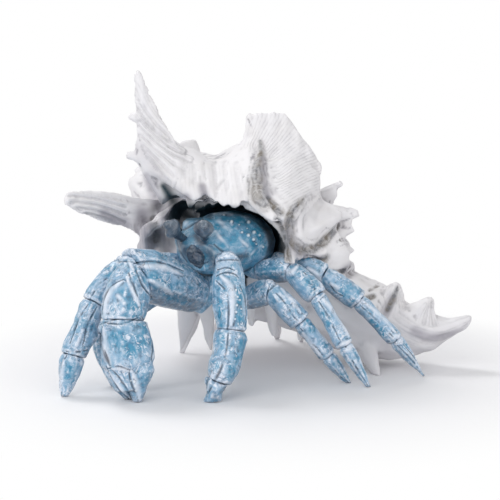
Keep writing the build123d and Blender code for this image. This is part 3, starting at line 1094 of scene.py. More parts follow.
# Rows of guide lines that growth lines and flutes follow, with the fine lines and the flutes
# to each gap between guides, the flutes' depth in millimetres and how strongly the lines show
SHELL_FLOWS = (
    (
        (
            ((138, 74), (144, 90), (152, 106), (163, 121), (176, 135)),
            ((133, 92), (139, 104), (146, 116), (155, 127), (168, 138)),
            ((134, 104), (142, 116), (152, 128), (165, 140), (182, 150)),
            ((136, 117), (144, 128), (156, 138), (172, 149), (190, 158)),
            ((138, 128), (147, 137), (160, 147), (176, 157), (194, 165)),
            ((141, 138), (150, 147), (163, 157), (176, 167), (188, 174)),
            ((144, 148), (153, 158), (163, 168), (173, 178)),
            ((149, 158), (156, 168), (163, 178), (171, 187)),
        ),
        3, 1, 0.5, 0.6,
    ),
    (
        (
            ((165, 160), (162, 172), (160, 182)),
            ((176, 162), (173, 178), (172, 192)),
            ((187, 166), (187, 182), (189, 199)),
            ((197, 166), (198, 180), (202, 196)),
            ((206, 166), (207, 180), (208, 198)),
            ((217, 166), (218, 182), (220, 202)),
            ((228, 166), (230, 184), (233, 204)),
            ((239, 168), (242, 184), (245, 202)),
        ),
        3, 1, 0.22, 0.3,
    ),
    (
        (
            ((246, 146), (252, 130), (256, 117)),
            ((256, 146), (264, 129), (272, 115)),
            ((266, 149), (276, 134), (286, 120)),
            ((273, 155), (287, 142), (299, 131)),
            ((277, 166), (293, 154), (311, 142)),
            ((279, 177), (296, 166), (318, 155)),
            ((282, 187), (300, 177), (323, 168)),
            ((285, 197), (304, 187), (328, 178)),
            ((292, 206), (311, 196), (332, 189)),
        ),
        4, 1, 0.12, 0.75,
    ),
    (
        (
            ((70, 190), (82, 193), (100, 196), (124, 201)),
            ((68, 197), (85, 199), (104, 202), (126, 208)),
            ((73, 203), (88, 205.5), (105, 209), (124, 216)),
            ((79, 209), (94, 212), (108, 216), (124, 223)),
            ((86, 214), (100, 217.5), (112, 222), (124, 230)),
        ),
        3, 1, 0.75, 0.5,
    ),
    (
        (
            ((130, 226), (132, 244), (134, 264)),
            ((139, 226), (141, 244), (143, 264)),
            ((148, 226), (149, 244), (151, 264)),
            ((157, 222), (158, 242), (160, 264)),
            ((166, 220), (167, 242), (170, 264)),
        ),
        3, 1, 0.3, 0.7,
    ),
    (
        (
            ((400, 312), (420, 326), (444, 328), (474, 317)),
            ((392, 330), (418, 344), (444, 346), (477, 326)),
            ((386, 352), (412, 362), (440, 358), (474, 338)),
        ),
        4, 2, 0.25, 0.7,
    ),
    (
        (
            ((394, 287), (384, 300), (376, 316)),
            ((398, 289), (394, 304), (388, 320)),
            ((400, 294), (404, 308), (402, 322)),
        ),
        3, 1, 0.45, 0.8,
    ),
    (
        (
            ((427, 303), (418, 316), (412, 330)),
            ((430, 303), (428, 318), (426, 332)),
            ((432, 306), (436, 320), (440, 330)),
        ),
        3, 1, 0.45, 0.8,
    ),
)
# Deep, worn recesses between the lobes of the lip
SHELL_RECESSES = (
    ((268, 198, 3), (274, 205, 5), (281, 212, 5)),
    (
        (312, 197, 5), (304, 203, 7), (294, 212, 7), (289, 226, 7), (291, 240, 6.5),
        (301, 250, 6),
    ),
    ((301, 250, 6), (313, 249, 6), (324, 241, 6), (332, 232, 4.5), (338, 225, 2.5)),
    ((277, 219, 4), (283, 232, 5), (286, 248, 6), (288, 262, 5)),
    ((308, 256, 4), (318, 261, 5), (328, 257, 4)),
    ((340, 272, 3), (350, 269, 3.5), (358, 264, 2.5)),
    ((341, 240, 2), (350, 241, 2)),
    ((370, 290, 2), (378, 285, 2)),
    ((362, 300, 4), (374, 296, 3)),
    ((154, 219, 4), (156, 230, 5), (155, 240, 4)),
    ((398, 287, 2), (394, 298, 3.5), (388, 309, 3.5)),
    ((358, 268, 3), (350, 274, 4)),
)
# Smooth scooped lobes
SHELL_SCOOPS = (
    ((320, 204, 6), (312, 216, 9), (311, 231, 8)),
    ((334, 250, 6), (335, 262, 7)),
    ((322, 275, 6), (334, 284, 8)),
    ((345, 206, 2), (348, 210, 2)),
)
# Places of the shell that move in the picture: the place, how far it moves and how wide
SHELL_PULLS = (
    (152, 246, -15, 0, 30),
    (151, 226, -9, 2, 20),
    (460, 322, 7, -1, 22),
    (394, 288, 3, -4, 9),
    (427, 303, 3, -3, 9),
    (136, 78, 1, -3, 12),
    (216, 147, 0, 8, 24),
    (372, 266, -14, 3, 26),
    (357, 238, -8, 0, 18),
    (359, 223, -13, 0, 8),
    (340, 190, -3, -1, 8),
    (355, 243, -11, 0, 7),
    (355, 257, -11, 0, 7),
    (352, 274, -9, 0, 7),
    (199, 206, 0, -4, 8),
    (208, 204, 0, -7, 7),
    (219, 205, 0, -3, 6),
    (228, 207, 0, -2, 6),
    (243, 205, 0, -4, 5),
    (249, 205, 0, -3, 5),
)
# Smooth parts of the shell
SHELL_CALMS = (
    ((262, 128, 26), (284, 140, 34), (300, 166, 30), (306, 182, 22)),
    ((365, 320, 24), (385, 345, 28), (440, 345, 16)),
)
# A proud, worn fin on the lip
SHELL_FINS = (
    (
        (260, 142, 2.5), (260, 155, 4.5), (257, 168, 7), (256, 182, 9), (258, 196, 10),
        (264, 206, 7),
    ),
)
# Parts of the shell with a lighter painted shade
SHELL_SOFT_SHADES = (
    ((396, 318, 18), (425, 340, 20), (455, 334, 16), (474, 324, 10)),
    ((345, 290, 14), (362, 325, 22), (390, 352, 22)),
    ((120, 150, 0.5), (140, 150, 16), (160, 176, 14)),
)
# Added spines: root and tip in the picture, depth, and thickness at the root and the tip
SHELL_FRONDS = (
    (190, 300, 181, 351, -0.022, 7.5 * MM, 0.8 * MM),
    (205, 296, 211, 352, -0.026, 6.5 * MM, 0.8 * MM),
    (270, 300, 274, 337, -0.03, 4.0 * MM, 1.6 * MM),
    (250, 300, 252, 326, -0.03, 3.5 * MM, 1.5 * MM),
    (299, 305, 300, 341, -0.025, 3.5 * MM, 1.4 * MM),
    (190, 156, 188, 140, 0.0, 7.0 * MM, 4.5 * MM),
    (332, 236, 361, 231, -0.017, 5.5 * MM, 0.7 * MM),
    (330, 250, 354, 249, -0.02, 4.5 * MM, 1.4 * MM),
    (324, 264, 360, 264, -0.022, 7.0 * MM, 1.6 * MM),
    (330, 215, 359, 212, -0.016, 6.5 * MM, 1.2 * MM),
    (356, 292, 379, 282, -0.014, 6.0 * MM, 1.0 * MM),
    (346, 286, 362, 276, -0.014, 5.0 * MM, 1.0 * MM),
)
# Blunt lobes that stand thicker
SHELL_SWELLS = (
    ((136, 76, 8), (139, 90, 9), (142, 102, 8)),
    ((130, 115, 6), (137, 118, 6)),
    ((131, 155, 8), (139, 158, 8)),
)
# Shadowed walls inside the shell's mouth, painted dark as shadow
SHELL_DARKS = (
    ((163, 186, 6), (171, 198, 11), (180, 211, 14), (192, 218, 15)),
    (
        (190, 207, 8), (215, 213, 10), (240, 213, 10), (262, 224, 10), (276, 236, 9),
        (281, 250, 8),
    ),
)
# Walls beside the mouth that lie half in its shadow and take half its painted shadow
SHELL_DUSKS = (
    ((152, 226, 7), (158, 238, 11), (166, 252, 11)),
    ((153, 210, 7), (163, 203, 9), (174, 199, 8)),
    ((166, 214, 8), (172, 226, 10), (172, 244, 10)),
)
# Proud folds beside the furrows
SHELL_RIDGES = (
    ((208, 183, 3), (209, 196, 4)),
    ((188, 181, 3), (184, 194, 4)),
    ((231, 188, 3), (228, 200, 4)),
    ((245, 180, 2.5), (247, 196, 3.5), (253, 207, 3.5)),
    ((270, 200, 3), (271, 212, 4), (282, 217, 4)),
    (
        (305, 207, 3), (301, 216, 3), (300, 228, 3), (304, 240, 3), (314, 243, 3),
        (325, 234, 3), (334, 224, 3),
    ),
    ((326, 247, 2.5), (325, 260, 3), (331, 271, 3), (344, 272, 3), (357, 264, 2)),
    ((333, 203, 3), (345, 206, 3), (356, 212, 2)),
    ((329, 226, 3), (339, 219, 3), (350, 216, 2)),
    ((340, 243, 2.5), (350, 238, 2.5), (358, 232, 2)),
    ((286, 217, 2.5), (283, 228, 2.5), (286, 242, 2.5), (295, 253, 2.5)),
)

# Where painted shade turns the shell lilac grey
SHELL_SHADES = (
    ((146, 176, 5), (153, 192, 8), (160, 208, 11), (168, 226, 10)),
    ((142, 214, 12), (146, 235, 18), (152, 262, 18)),
    ((202, 186, 6), (206, 200, 7)),
    ((288, 225, 8), (292, 245, 9), (305, 256, 9), (320, 262, 9)),
    ((165, 216, 9), (174, 204, 9), (186, 198, 7)),
    ((160, 232, 8), (168, 245, 10), (172, 258, 10)),
    ((262, 160, 5), (264, 185, 6), (268, 198, 6)),
    ((104, 214, 8), (124, 226, 12)),
    ((392, 298, 6), (386, 312, 8)),
    ((348, 270, 8), (360, 262, 6)),
    ((415, 332, 10), (432, 338, 8), (462, 334, 8)),
)


# The head's tables


# The carapace's small tubercles, as places in the picture with half their width
TUBERCLES = (
    (231.5, 222, 2.2), (248.7, 222, 2.6), (254, 232.5, 2.6), (248.4, 235.3, 2.4),
    (253.6, 239.4, 2.2), (242, 232.2, 1.6), (259.5, 235.2, 1.7), (224, 215, 1.8),
    (263, 246.8, 1.7), (239, 225, 1.1), (247, 228.5, 1.0), (256.5, 244, 1.1),
)
# Places of the head, the eyes and the mouth that move in the picture
HEAD_PULLS = (
    (188, 220, -9, -5, 16),
    (182, 240, -5, 0, 12),
)
FACE_PULLS = (
    (166, 229, 6, -2.5, 15),
    (205, 242, 0, 4, 8),
    (194, 262, 5, -4, 18),
)
# The middles of the eyes' rings in the picture
EYES = ((172, 226.5), (205, 227), (205.5, 240))
# Painted shade in dark slate over the face, the groove above it and the carapace's right and
# lower edges
BODY_SHADES = (
    ((177, 236, 6), (183, 248, 11), (194, 256, 15), (206, 252, 15), (214, 262, 10)),
    ((196, 236, 7), (203, 244, 10)),
    ((188, 206, 6), (204, 210, 9), (210, 217, 5)),
    ((200, 222, 5), (201, 236, 6)),
    ((262, 222, 6), (271, 236, 6), (272, 250, 6)),
    ((232, 258, 7), (246, 256, 6)),
)
# Dark lines of the carapace and the face
BODY_LINES = (
    ((181, 231, 2), (190, 226, 2), (200, 220, 2)),
    ((214, 244, 2.5), (226, 254, 2.5), (238, 262, 2)),
    ((176, 240, 2), (180, 252, 2.5), (187, 262, 2)),
    ((190, 262, 2), (198, 265, 2), (208, 262, 2)),
    ((203, 219, 2), (200, 212, 2), (203, 207, 2)),
)
# Pale strokes of the carapace and the cheek, partly painted highlights
BODY_PALES = (
    ((180, 228, 6), (188, 219, 8), (198, 211, 6)),
    ((184, 229, 2), (193, 223, 2), (200, 218, 1.5)),
    ((214, 214, 3), (222, 212, 3.5), (232, 214, 3)),
    ((215, 232, 3), (222, 240, 3), (228, 247, 2)),
    ((247, 258, 2), (256, 250, 2.5), (264, 243, 2)),
    ((212, 228, 1.8), (213, 236, 1.8)),
    ((219, 222, 6), (230, 229, 5)),
    ((240, 238, 3), (247, 246, 3)),
)


# The limbs' tables


# Furrows along the limbs: the start of a name, the angle about the limb and the depth
FURROWS = (
    ("claw_arm", (-0.35, -2.6), 0.35),
    ("claw_wrist", (-0.5, -2.5), 0.4),
    ("claw_palm", (-2.25,), 0.6),
    ("claw_finger", (-2.2, -0.9), 0.5),
    ("small_claw", (-2.0, -0.7), 0.7),
    ("left_leg", (-2.4, -0.9), 0.5),
    ("left_rear", (-2.2,), 0.4),
    ("front_leg", (-0.5, -2.3), 0.5),
    ("middle_leg", (-0.6, -2.2), 0.5),
    ("rear_leg", (-0.5, -2.2), 0.5),
)
# Dark grooves and outlines of the claws and legs, drawn over the picture
LIMB_LINES = (
    ((124, 279, 2), (111, 286.5, 2), (104, 299, 2), (101.5, 312, 2), (102, 321, 2)),
    ((128.5, 272.5, 2), (133, 284, 2), (138, 297, 2)),
    ((107, 323, 2), (121, 323.5, 2), (138, 318, 2)),
    ((102.5, 327, 2), (100.5, 340, 2), (104, 354, 2.5), (110, 366, 3)),
    ((142, 317, 1.5), (151, 332, 1.5), (153, 348, 1.5), (152, 360, 1.5)),
    ((106, 366, 1.6), (112, 379, 1.6), (120, 391, 1.6), (130, 400, 1.4)),
    ((112, 370, 1.8), (118, 377, 2), (126, 388, 2), (131.5, 397.5, 1.6)),
    ((107, 369, 1.6), (118, 366.5, 1.8), (130, 370, 1.6)),
    ((129, 372, 1.8), (131, 382, 2), (135, 392, 2), (138, 400, 1.6)),
    ((105, 350, 1.5), (107, 358, 3), (111, 366, 2.5)),
    ((134, 263.5, 2), (149, 261, 2), (165, 263.5, 2), (184, 271, 1.5)),
    ((136, 270, 1.5), (142, 284, 1.5), (152, 298, 1.5)),
    ((97, 307, 2), (88, 325, 2), (83, 345, 1.5)),
    ((88, 304, 2), (77, 322, 2), (70, 343, 2)),
    ((66.5, 355, 2), (60, 369, 2), (58, 388, 2)),
    ((90, 300, 2), (97, 286, 2), (106, 279, 2)),
    ((66, 351, 1.5), (78, 352, 1.5), (88, 350, 1.5)),
    ((216, 281, 1.5), (226, 291.5, 2), (228.5, 309.5, 2.2), (227.5, 329, 2.5)),
    ((228, 333, 2.5), (226, 353, 2.5), (221, 368, 2.5), (214.5, 381, 3), (208, 394, 2)),
    ((217, 270, 1.2), (226, 267.5, 1.2), (235, 270, 1.2)),
    ((216, 276, 1.2), (225, 272.5, 1.2), (235, 274, 1.2), (239, 278, 1.2)),
    ((240, 285, 1.5), (246, 300, 1.5), (246, 320, 1.5)),
    ((276, 293, 2), (286, 304, 2), (292, 315, 2), (298, 321, 2)),
    ((300.5, 328.5, 2), (310, 340.5, 2), (322.5, 355, 2)),
    ((329.5, 363.5, 2), (339.5, 376, 1.5), (349, 383, 1.5)),
    ((303, 271.5, 1.5), (312.5, 281, 1.5), (315, 292, 1.5), (311.5, 297, 1.5)),
    ((319, 302, 2), (329.5, 319, 2), (339.5, 340, 2)),
    ((346.5, 352.5, 2), (356.5, 368.5, 2), (367.5, 385.5, 2)),
    ((360, 305.5, 2), (377, 320, 2), (393, 337, 2)),
    ((397.5, 345.5, 2), (409.5, 357.5, 2), (419.5, 369.5, 2)),
    ((403, 344, 1.2), (415, 358, 1.2)),
    ((329, 283, 1.5), (335, 292, 1.5), (345, 297, 1.5)),
    ((345.5, 346.7, 1.8), (346, 347, 1.8)),
    ((396.4, 339.4, 1.8), (397, 339.6, 1.8)),
)
# Places of the claws that move in the picture
LIMB_PULLS = (
    (206, 326, 4, 0, 20),
    (204, 350, 5, 0, 20),
    (202, 371, 5, 0, 18),
    (199, 390, 7, 0, 16),
    (95, 338, 5, 0, 14),
    (150, 345, 4, 0, 24),
    (157, 388, -5, 0, 20),
    (150, 402, -5, 0, 12),
    (232, 396, -8, -4, 16),
    (242, 384, -4, -2, 18),
    (118, 272, 3, -2, 10),
)
# Pale ridges of the claws and legs, partly painted highlights
LIMB_PALES = (
    ((121.5, 281.5, 2.5), (110, 291.5, 3.5), (106, 304, 3.5), (105, 318, 3)),
    ((126.5, 277.5, 2), (133, 291.5, 2.5), (139, 305, 2.5)),
    ((104, 329, 3.5), (104, 345, 4.5), (107, 357, 4), (111, 364, 2.5)),
    ((133, 374, 3), (136, 384, 3.5), (138, 394, 3)),
    ((110, 372.5, 2.4), (117, 383.5, 2.8), (127, 395, 1.8)),
    ((134, 376, 4), (137, 388, 4), (139, 398, 3)),
    ((112, 368.5, 2), (122, 368.5, 2.4), (132, 372, 2)),
    ((138, 266.5, 3), (152, 266.5, 3.5), (165, 268, 3.5), (182, 274.5, 2.5)),
    ((129, 261, 3), (133, 270, 3)),
    ((64, 360.5, 2.5), (61, 374.5, 3), (61, 391, 2)),
    ((83, 330, 3), (77, 345, 3)),
    ((221, 276, 3), (230, 286.5, 4), (232.5, 304.5, 4), (231, 325, 3)),
    ((303, 333, 2.5), (312, 345, 3), (322, 357, 2)),
    ((148, 280, 3), (160, 285, 3.5), (172, 294, 3)),
    ((118, 296, 4), (124, 303, 4)),
    ((213, 372, 2), (208, 390, 2)),
    ((281, 288.5, 2), (292, 300.5, 2.5), (300.5, 312.5, 2)),
    ((315, 322, 3), (322, 333, 4), (327, 343, 2)),
    ((269, 282, 1.5), (277.5, 286, 2)),
    ((285, 268, 3), (290, 273, 3.5), (297, 267, 3)),
    ((322.5, 299.5, 3), (337, 315, 3), (349, 336, 3)),
    ((317.5, 300.5, 2), (325, 293, 2)),
    ((331, 284, 3), (338, 288, 4)),
    ((363.5, 302, 2.5), (379.5, 315, 2.5), (395, 332, 2)),
    ((403, 349, 1.5), (416, 362, 1.5)),
    ((360, 300, 2.5), (358, 305, 2.5)),
    ((341, 345, 3.2), (345, 342.5, 3.2), (349.5, 345, 3.2), (349.5, 349, 3.2), (345, 351, 3.2)),
    ((392.5, 338, 3), (396, 335.5, 3), (400.5, 338, 3), (400, 342, 3), (396, 343.5, 3)),
    ((308, 268, 3), (318, 276, 3), (322, 290, 2)),
)
# Bright panels of the claws and legs
LIMB_PANELS = (
    ((116, 336, 14), (128, 346, 18), (140, 342, 14)),
    ((145, 276, 12), (160, 284, 14), (172, 296, 14)),
    ((124, 293, 9), (130, 308, 12)),
    ((240, 290, 8), (240, 322, 9)),
    ((240, 345, 8), (232, 372, 9)),
    ((220, 300, 6), (222, 345, 6)),
    ((262, 270, 12), (286, 272, 9)),
    ((306, 320, 7), (312, 328, 8)),
    ((312, 285, 7), (322, 315, 6)),
    ((345, 294, 8), (352, 300, 8)),
    ((372, 322, 6), (384, 334, 6)),
    ((70, 368, 6), (66, 380, 5)),
    ((342, 374, 6), (349, 380, 4)),
)
# Small white tubercles of the smaller claw and the knuckles
LIMB_DOTS = (
    (236, 290, 1.6), (237.5, 297, 1.6), (237, 305, 1.8), (236, 312, 1.8), (235, 319, 1.5),
    (240, 300, 1.2), (241, 309, 1.3), (238, 324, 1.2), (233, 297, 1.1), (131, 381, 1.2),
    (133, 377, 1.9), (134, 381.5, 2), (135, 386, 2), (136, 390.5, 1.8), (343, 336, 1.5),
    (345, 331, 1.2), (353, 344, 1.2), (289, 298, 1.2), (293, 304, 1.2),
)
# How deep the drawn grooves are in millimetres, and where the rim and the crease of a joint
# lie along a limb and how wide they are
GROOVE_DEPTH = 0.6
RIM_PLACE, RIM_WIDTH = 1.4 * MM, 1.3 * MM
CREASE_PLACE, CREASE_WIDTH = 3.2 * MM, 0.8 * MM


# Operators


class CRAB_OT_shell(bpy.types.Operator):
    """Carve the shell with its flared lip, horns, fan and tail"""

    bl_idname = "crab.shell"
    bl_label = "Shell"

    def execute(self, context):
        settings = context.scene.crab_shell
        paint = shell_paint(settings)
        piece = cast_from(SHELL_PARTS, "carved_shell", settings.grid, SHELL_FRONDS)
        edges = edges_of(piece)
        points = relaxed(points_of(piece), edges, 6)
        calm = traced(in_picture(points), SHELL_CALMS)
        points[:, 1] += (relaxed(points, edges, CALM_TIMES)[:, 1] - points[:, 1]) * calm
        place_points(piece, pulled(points, SHELL_PULLS))
        points, normals = points_of(piece), normals_of(piece)
        # The walls that look at the crab's body take a painted shadow
        inside = facing_crab(points, normals, MOUTH_REACH)
        keep_values(piece, inside=relaxed(inside[:, None], edges, 3)[:, 0])

        spots = in_picture(points)
        front = facing_camera(points, normals)
        nearly = rounded(front + 0.35)
        recess = traced(spots, SHELL_RECESSES, 1.35) * front
        shade = traced(spots, SHELL_SHADES, 1.25) * front
        shade = np.maximum(shade, traced(spots, SHELL_SOFT_SHADES) * front * 0.35)
        ridges = traced(spots, SHELL_RIDGES, 1.3) * front
        furrows = traced(spots, SHELL_FURROWS, 1.3, 0.6) * front
        swells = traced(spots, SHELL_SWELLS)
        fins = traced(spots, SHELL_FINS, 1.5) * nearly
        scoops = traced(spots, SHELL_SCOOPS, 1.2) * front
        forward = rounded((30 * MM - points[:, 1]) / (10 * MM))
        # dark is the traced painted shadow of the mouth's walls
        dark = np.maximum(traced(spots, SHELL_DARKS), traced(spots, SHELL_DUSKS, 1.2) * 0.5)
        dark = dark * forward
        sway = clouds(points, 16 * MM, 1)
        patch = clouds(points, 9 * MM, 2)
        crags = np.abs(clouds(points, 4.2 * MM, 5))
        paths = (*SHELL_RECESSES, *SHELL_FINS)
        gap = np.min([path_gap(spots, curved(path)) for path in paths], axis=0)
        folds = 0.5 + 0.5 * np.sin(gap * 1.3 + sway * 7 + patch * 6)
        back = 1 - front
        spire = points @ np.array(settings.axis)
        rings = waves(spire / MM + sway * 4) * (0.5 + 0.5 * patch)

        flow, flowing = np.zeros(len(points)), np.zeros(len(points))
        fluted, flutes = np.zeros(len(points)), np.zeros(len(points))
        for guides, fine, broad, deep, shown in SHELL_FLOWS:
            count, among = flow_across(spots, guides)
            among = among * front * (1 - recess) * (1 - fins)
            flow = np.where(among * shown > flowing, (count + sway * 0.12) * fine, flow)
            flowing = np.maximum(flowing, among * shown)
            fluted = np.maximum(fluted, among)
            flutes += waves(2 * np.pi * broad * (count + sway * 0.2)) * among * deep * MM
        carve = rings * settings.ridge * 0.25 * back + flutes
        carve += clouds(points, 11 * MM, 13) * back * LUMP_HEIGHT * MM
        carve += ridges * RIDGE_HEIGHT * MM - furrows * FURROW_DEPTH * MM
        carve -= recess * (RECESS_DEPTH - 0.7 * folds + 0.9 * crags) * MM + scoops * MM
        risen = fins * (FIN_HEIGHT + 0.6 * folds) * MM
        carve += swells * (SWELL_HEIGHT - 0.8 * crags) * MM + risen
        carve *= 1 - inside
        carve += clouds(points, 6 * MM, 3) * 0.3 * MM
        place_points(piece, points + normals * carve[:, None])

        high = rounded((points[:, 2] - 60 * MM) / (14 * MM))
        # Painted shade: under and low tint lilac the surfaces that face down and the lower
        # shell
        under = rounded(-normals[:, 2] * 0.8 - 0.1) * 0.35
        low = rounded((45 * MM - points[:, 2]) / (40 * MM)) * 0.25
        read_relief(piece, 3, 16)
        fade = (1 - 0.7 * calm) * (1 - 0.8 * fluted)
        fade = fade * (1 - 0.6 * np.maximum(recess, fins))
        fade = fade * (1 - 0.9 * traced(spots, SHELL_SCOOPS, 1.9))
        scale_values(piece, "hollow", fade * (0.6 + 0.4 * high))
        scale_values(piece, "proud", fade)
        raise_values(piece, "hollow", furrows * (0.25 + 0.3 * np.abs(sway)))
        # The mouth's painted shadow: walls facing the crab right of the left rim, and the
        # traced dark walls
        inside = np.maximum(inside * rounded((spots[:, 0] - 158) / 16), dark)
        worn = recess * (1.3 - 0.4 * folds + 0.3 * crags)
        worn = np.maximum(worn, fins * (0.95 - 0.35 * folds + 0.3 * crags))
        worn = worn * facing_camera(points, normals, WORN_FACING)
        keep_values(
            piece,
            inside=inside,
            weathered=np.clip(worn * (1 - inside), 0, 1),
            # shade holds the painted shade of the traced walls, the undersides and the lower
            # shell
            shade=np.clip(np.maximum(shade, under + low), 0, 1),
            flow=flow,
            flowing=flowing * (1 - inside),
            cords=back * 0.4,
        )
        thin_out(piece, back > 0.97, SHELL_TRIANGLES)
        finish_piece(piece, paint, SHELL_PARTS)
        return {"FINISHED"}


class CRAB_OT_body(bpy.types.Operator):
    """Carve the crab's body, mouth and eyestalks"""

    bl_idname = "crab.body"
    bl_label = "Body, mouth and eyes"

    def execute(self, context):
        settings = context.scene.crab_body
        blue = crab_paint("Body blue", settings.body_blue, settings, 1.0, 0.45, 0.4)
        grey = crab_paint("Face grey", settings.face_grey, settings, 0.15, 0.3, 0.06)
        for part, paint, slot in (
            ("crab_body", blue, "crab_blue"),
            ("mouthparts", grey, "crab_dark"),
            ("eyestalk_left", grey, "crab_dark"),
            ("eyestalk_right", grey, "crab_dark"),
        ):
            grid = settings.grid * (1.1 if part == "crab_body" else 0.7)
            piece = cast_from((part,), "carved_" + part, grid)
            edges = edges_of(piece)
            times = {"crab_body": 8, "mouthparts": 24}.get(part, 80)
            points = relaxed(points_of(piece), edges, times)
            if part == "mouthparts":
                points[:, 1] += (points[:, 1].max() - points[:, 1]) * 0.6
            points = pulled(points, HEAD_PULLS if part == "crab_body" else FACE_PULLS)
            place_points(piece, points)
            points, normals = points_of(piece), normals_of(piece)
            spots = in_picture(points)
            front = facing_camera(points, normals)
            uneven = clouds(points, 4.0 * MM, 12)
            line = traced(spots, BODY_LINES, 1.0, 0.5) * front
            if part != "crab_body":
                line = np.maximum(line, (0.45 + 0.4 * uneven).clip(0, 1))
            pale = traced(spots, BODY_PALES) * front * (0.45 + uneven).clip(0, 1)
            dots = np.zeros(len(points))
            carve = clouds(points, 5.0 * MM, 4) * 0.3 * MM - line * 0.4 * MM
            if part == "crab_body":
                dots = dotted(spots, TUBERCLES) * front
                carve += dots * 0.6 * MM
            if part == "mouthparts":
                knobs = cells(points, 2.8 * MM, 5)
                carve += (0.4 - knobs) * 0.8 * MM
                line = np.maximum(line, 0.35 + 0.65 * rounded(knobs * 1.6 - 0.45))
            if part.startswith("eyestalk"):
                start, end = run_of(points, middle_of("crab_body"))
                share = along(points, start, end)[0]
                line = np.maximum(line, bump(share - 0.55, 0.08) * 0.9)
                carve += rounded((share - 0.35) / 0.4) * 1.8 * MM
                for u, v in EYES:
                    gap = np.linalg.norm(spots - (u, v), axis=1)
                    rings = rounded(0.3 + waves(gap * 1.6)) * bump(gap, 9) * front
                    line = np.maximum(line, rings * 0.6)
            place_points(piece, points + normals * carve[:, None])
            read_relief(piece, 4, 24)
            # face_shade is painted shade in dark slate, laid into the dark lines
            face_shade = traced(spots, BODY_SHADES) * front * (0.9 + 0.5 * uneven).clip(0, 1)
            keep_values(
                piece,
                line=np.maximum(line * 0.85, face_shade * 0.9),
                pale=pale * (1 - face_shade),
                teal=0.6 + 0.4 * clouds(points, 12 * MM, 8),
                dots=dots,
            )
            finish_piece(piece, paint, (part,))
        return {"FINISHED"}


class CRAB_OT_limbs(bpy.types.Operator):
    """Carve the claws and legs"""

    bl_idname = "crab.limbs"
    bl_label = "Claws and legs"

    def execute(self, context):
        settings = context.scene.crab_body
        paint = crab_paint("Limb blue", settings.middle_blue, settings)
        body = middle_of("crab_body")
        for part in sorted(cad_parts):
            if part.startswith(("shell", "crab_body", "mouth", "eyestalk")):
                continue
            piece = cast_from((part,), "carved_" + part, settings.grid)
            edges = edges_of(piece)
            points = relaxed(points_of(piece), edges, 20 if part == "claw_palm" else 10)
            start, end = run_of(points, body)
            length = np.linalg.norm(end - start)
            share = along(points, start, end)[0]
            if part.endswith("shin"):
                middle = start + share[:, None] * (end - start)
                points -= (points - middle) * 0.1 * np.sin(np.pi * share.clip(0, 1))[:, None]
            place_points(piece, pulled(points, LIMB_PULLS))
            points, normals = points_of(piece), normals_of(piece)
            share, turn = along(points, start, end)
            sway = clouds(points, 7 * MM, 7) * 0.25
            spots = in_picture(points)
            front = facing_camera(points, normals)
            uneven = clouds(points, 5.0 * MM, 9)
            line = traced(spots, LIMB_LINES, 1.15, 0.6) * front
            line = line * (0.8 + 0.9 * uneven).clip(0, 1)
            if "leg" in part:
                line = line * (0.7 + clouds(points, 2.5 * MM, 15)).clip(0.2, 1)
            pale = traced(spots, LIMB_PALES, 1.6, 0.4) * front
            pale = pale * (1.0 + 0.7 * uneven).clip(0, 1)
            teal = traced(spots, LIMB_PANELS)
            dots = dotted(spots, LIMB_DOTS) * front
            from_start = share * length
            from_end = (1 - share) * length
            behind = furrow_depth(part, turn + sway, share) * (1 - front)
            run = (end - start) / length
            drawn_out = points - np.outer((points - start) @ run * 0.55, run)
            carve = clouds(points, 3.0 * MM, 6) * 0.22 * MM
            carve += clouds(drawn_out, 1.7 * MM, 14) * 0.16 * MM
            carve -= behind + line * GROOVE_DEPTH * MM
            carve += pale * 0.45 * MM + dots * 0.5 * MM
            tip = part.endswith(("tip", "finger"))
            rim = bump(from_start - RIM_PLACE, RIM_WIDTH)
            crease = bump(from_start - CREASE_PLACE, CREASE_WIDTH)
            carve += rim * 0.35 * MM - crease * 0.3 * MM
            if tip:
                carve += waves(turn * 7 + sway) * 0.08 * MM * rounded(share / 0.3)
            else:
                rim = np.maximum(rim, bump(from_end - RIM_PLACE, 1.2 * MM))
                carve += bump(from_end - RIM_PLACE, RIM_WIDTH) * 0.3 * MM
            place_points(piece, points + normals * carve[:, None])
            read_relief(piece, 4, 24)
            pale = np.maximum(pale, rim * 0.5)
            point = rounded((share - 0.93) / 0.06) * 0.6 * tip
            line = np.maximum(line ** 1.5, np.maximum(crease * 0.45, point))
            grooves = behind / (GROOVE_DEPTH * MM)
            line = np.maximum(line * 0.9, grooves * 0.5)
            keep_values(piece, line=line, pale=pale, teal=teal, dots=dots)
            # Painted shade: the wash mask rises on surfaces that face down
            raise_values(piece, "hollow", rounded(-normals[:, 2] * 0.9 + 0.15 * uneven) * 0.75)
            finish_piece(piece, paint, (part,))
        return {"FINISHED"}


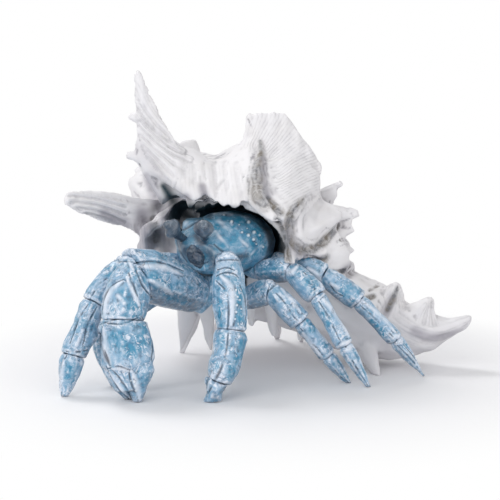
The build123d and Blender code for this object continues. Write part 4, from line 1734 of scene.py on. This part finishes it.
class CRAB_OT_studio(bpy.types.Operator):
    """Lay the paper floor, place the lamps and aim the camera"""

    bl_idname = "crab.studio"
    bl_label = "Studio"

    def execute(self, context):
        settings = context.scene.crab_studio
        scene = context.scene
        scene.view_settings.view_transform = "Standard"
        target = Vector(settings.target)
        back = Vector((0.0, -math.cos(settings.tilt), math.sin(settings.tilt)))
        lens = bpy.data.cameras.new("Photograph view")
        lens.lens = settings.lens
        lens.sensor_width = SENSOR
        lens.clip_end = 20.0
        camera = bpy.data.objects.new("Photograph view", lens)
        camera.location = target + back * settings.distance
        camera.rotation_euler = (-back).to_track_quat("-Z", "Y").to_euler()
        scene.collection.objects.link(camera)
        scene.camera = camera

        form = bmesh.new()
        bmesh.ops.create_grid(form, x_segments=1, y_segments=1, size=3.0)
        mesh = bpy.data.meshes.new("paper_floor")
        form.to_mesh(mesh)
        form.free()
        floor = bpy.data.objects.new("paper_floor", mesh)
        floor.location.z = -0.05 * MM
        scene.collection.objects.link(floor)
        mesh.materials.append(paper_paint(settings))

        world = bpy.data.worlds.new("Studio")
        scene.world = world
        world.use_nodes = True
        sky = world.node_tree
        light = sky.nodes["Background"]
        light.inputs["Color"].default_value = (1.0, 1.0, 1.0, 1.0)
        light.inputs["Strength"].default_value = settings.sky
        seen = node(sky, "ShaderNodeBackground", values={"Strength": 1.0})
        seen.inputs["Color"].default_value = (1.0, 1.0, 1.0, 1.0)
        direct = seen_directly(sky)
        either_shader(sky, direct, light.outputs[0], seen.outputs[0], "World Output")

        for name, place, size, power in (
            ("Key lamp", (-0.45, 0.4, 1.0), 0.35, 4.1),
            ("Front lamp", (-0.45, -0.9, 0.55), 0.9, 4.6),
            ("Fill lamp", (0.7, -0.8, 0.3), 0.9, 2.2),
        ):
            data = bpy.data.lights.new(name, "AREA")
            data.energy = power
            data.size = size
            lamp = bpy.data.objects.new(name, data)
            lamp.location = place
            aim = target - Vector(place)
            lamp.rotation_euler = aim.to_track_quat("-Z", "Y").to_euler()
            scene.collection.objects.link(lamp)
        return {"FINISHED"}


class CRAB_PT_panel(bpy.types.Panel):
    """The pieces of the figurine"""

    bl_label = "Hermit Crab Figurine"
    bl_space_type = "VIEW_3D"
    bl_region_type = "UI"
    bl_category = "Crab"

    def draw(self, context):
        column = self.layout.column()
        for operator in OPERATORS:
            column.operator(operator.bl_idname)
        for group in ("crab_shell", "crab_body", "crab_studio"):
            box = self.layout.box()
            settings = getattr(context.scene, group)
            for name in settings.__annotations__:
                box.prop(settings, name)


SETTINGS = (ShellSettings, CrabSettings, StudioSettings)
OPERATORS = (
    CRAB_OT_shell,
    CRAB_OT_body,
    CRAB_OT_limbs,
    CRAB_OT_studio,
)


def register():
    for item in (*SETTINGS, *OPERATORS, CRAB_PT_panel):
        bpy.utils.register_class(item)
    bpy.types.Scene.crab_shell = bpy.props.PointerProperty(type=ShellSettings)
    bpy.types.Scene.crab_body = bpy.props.PointerProperty(type=CrabSettings)
    bpy.types.Scene.crab_studio = bpy.props.PointerProperty(type=StudioSettings)


def unregister():
    del bpy.types.Scene.crab_studio
    del bpy.types.Scene.crab_body
    del bpy.types.Scene.crab_shell
    for item in (CRAB_PT_panel, *reversed(OPERATORS), *reversed(SETTINGS)):
        bpy.utils.unregister_class(item)


def main():
    """Makes the whole figure and its studio."""
    register()
    bpy.ops.crab.shell()
    bpy.ops.crab.body()
    bpy.ops.crab.limbs()
    bpy.ops.crab.studio()


if __name__ == "__main__":
    main()
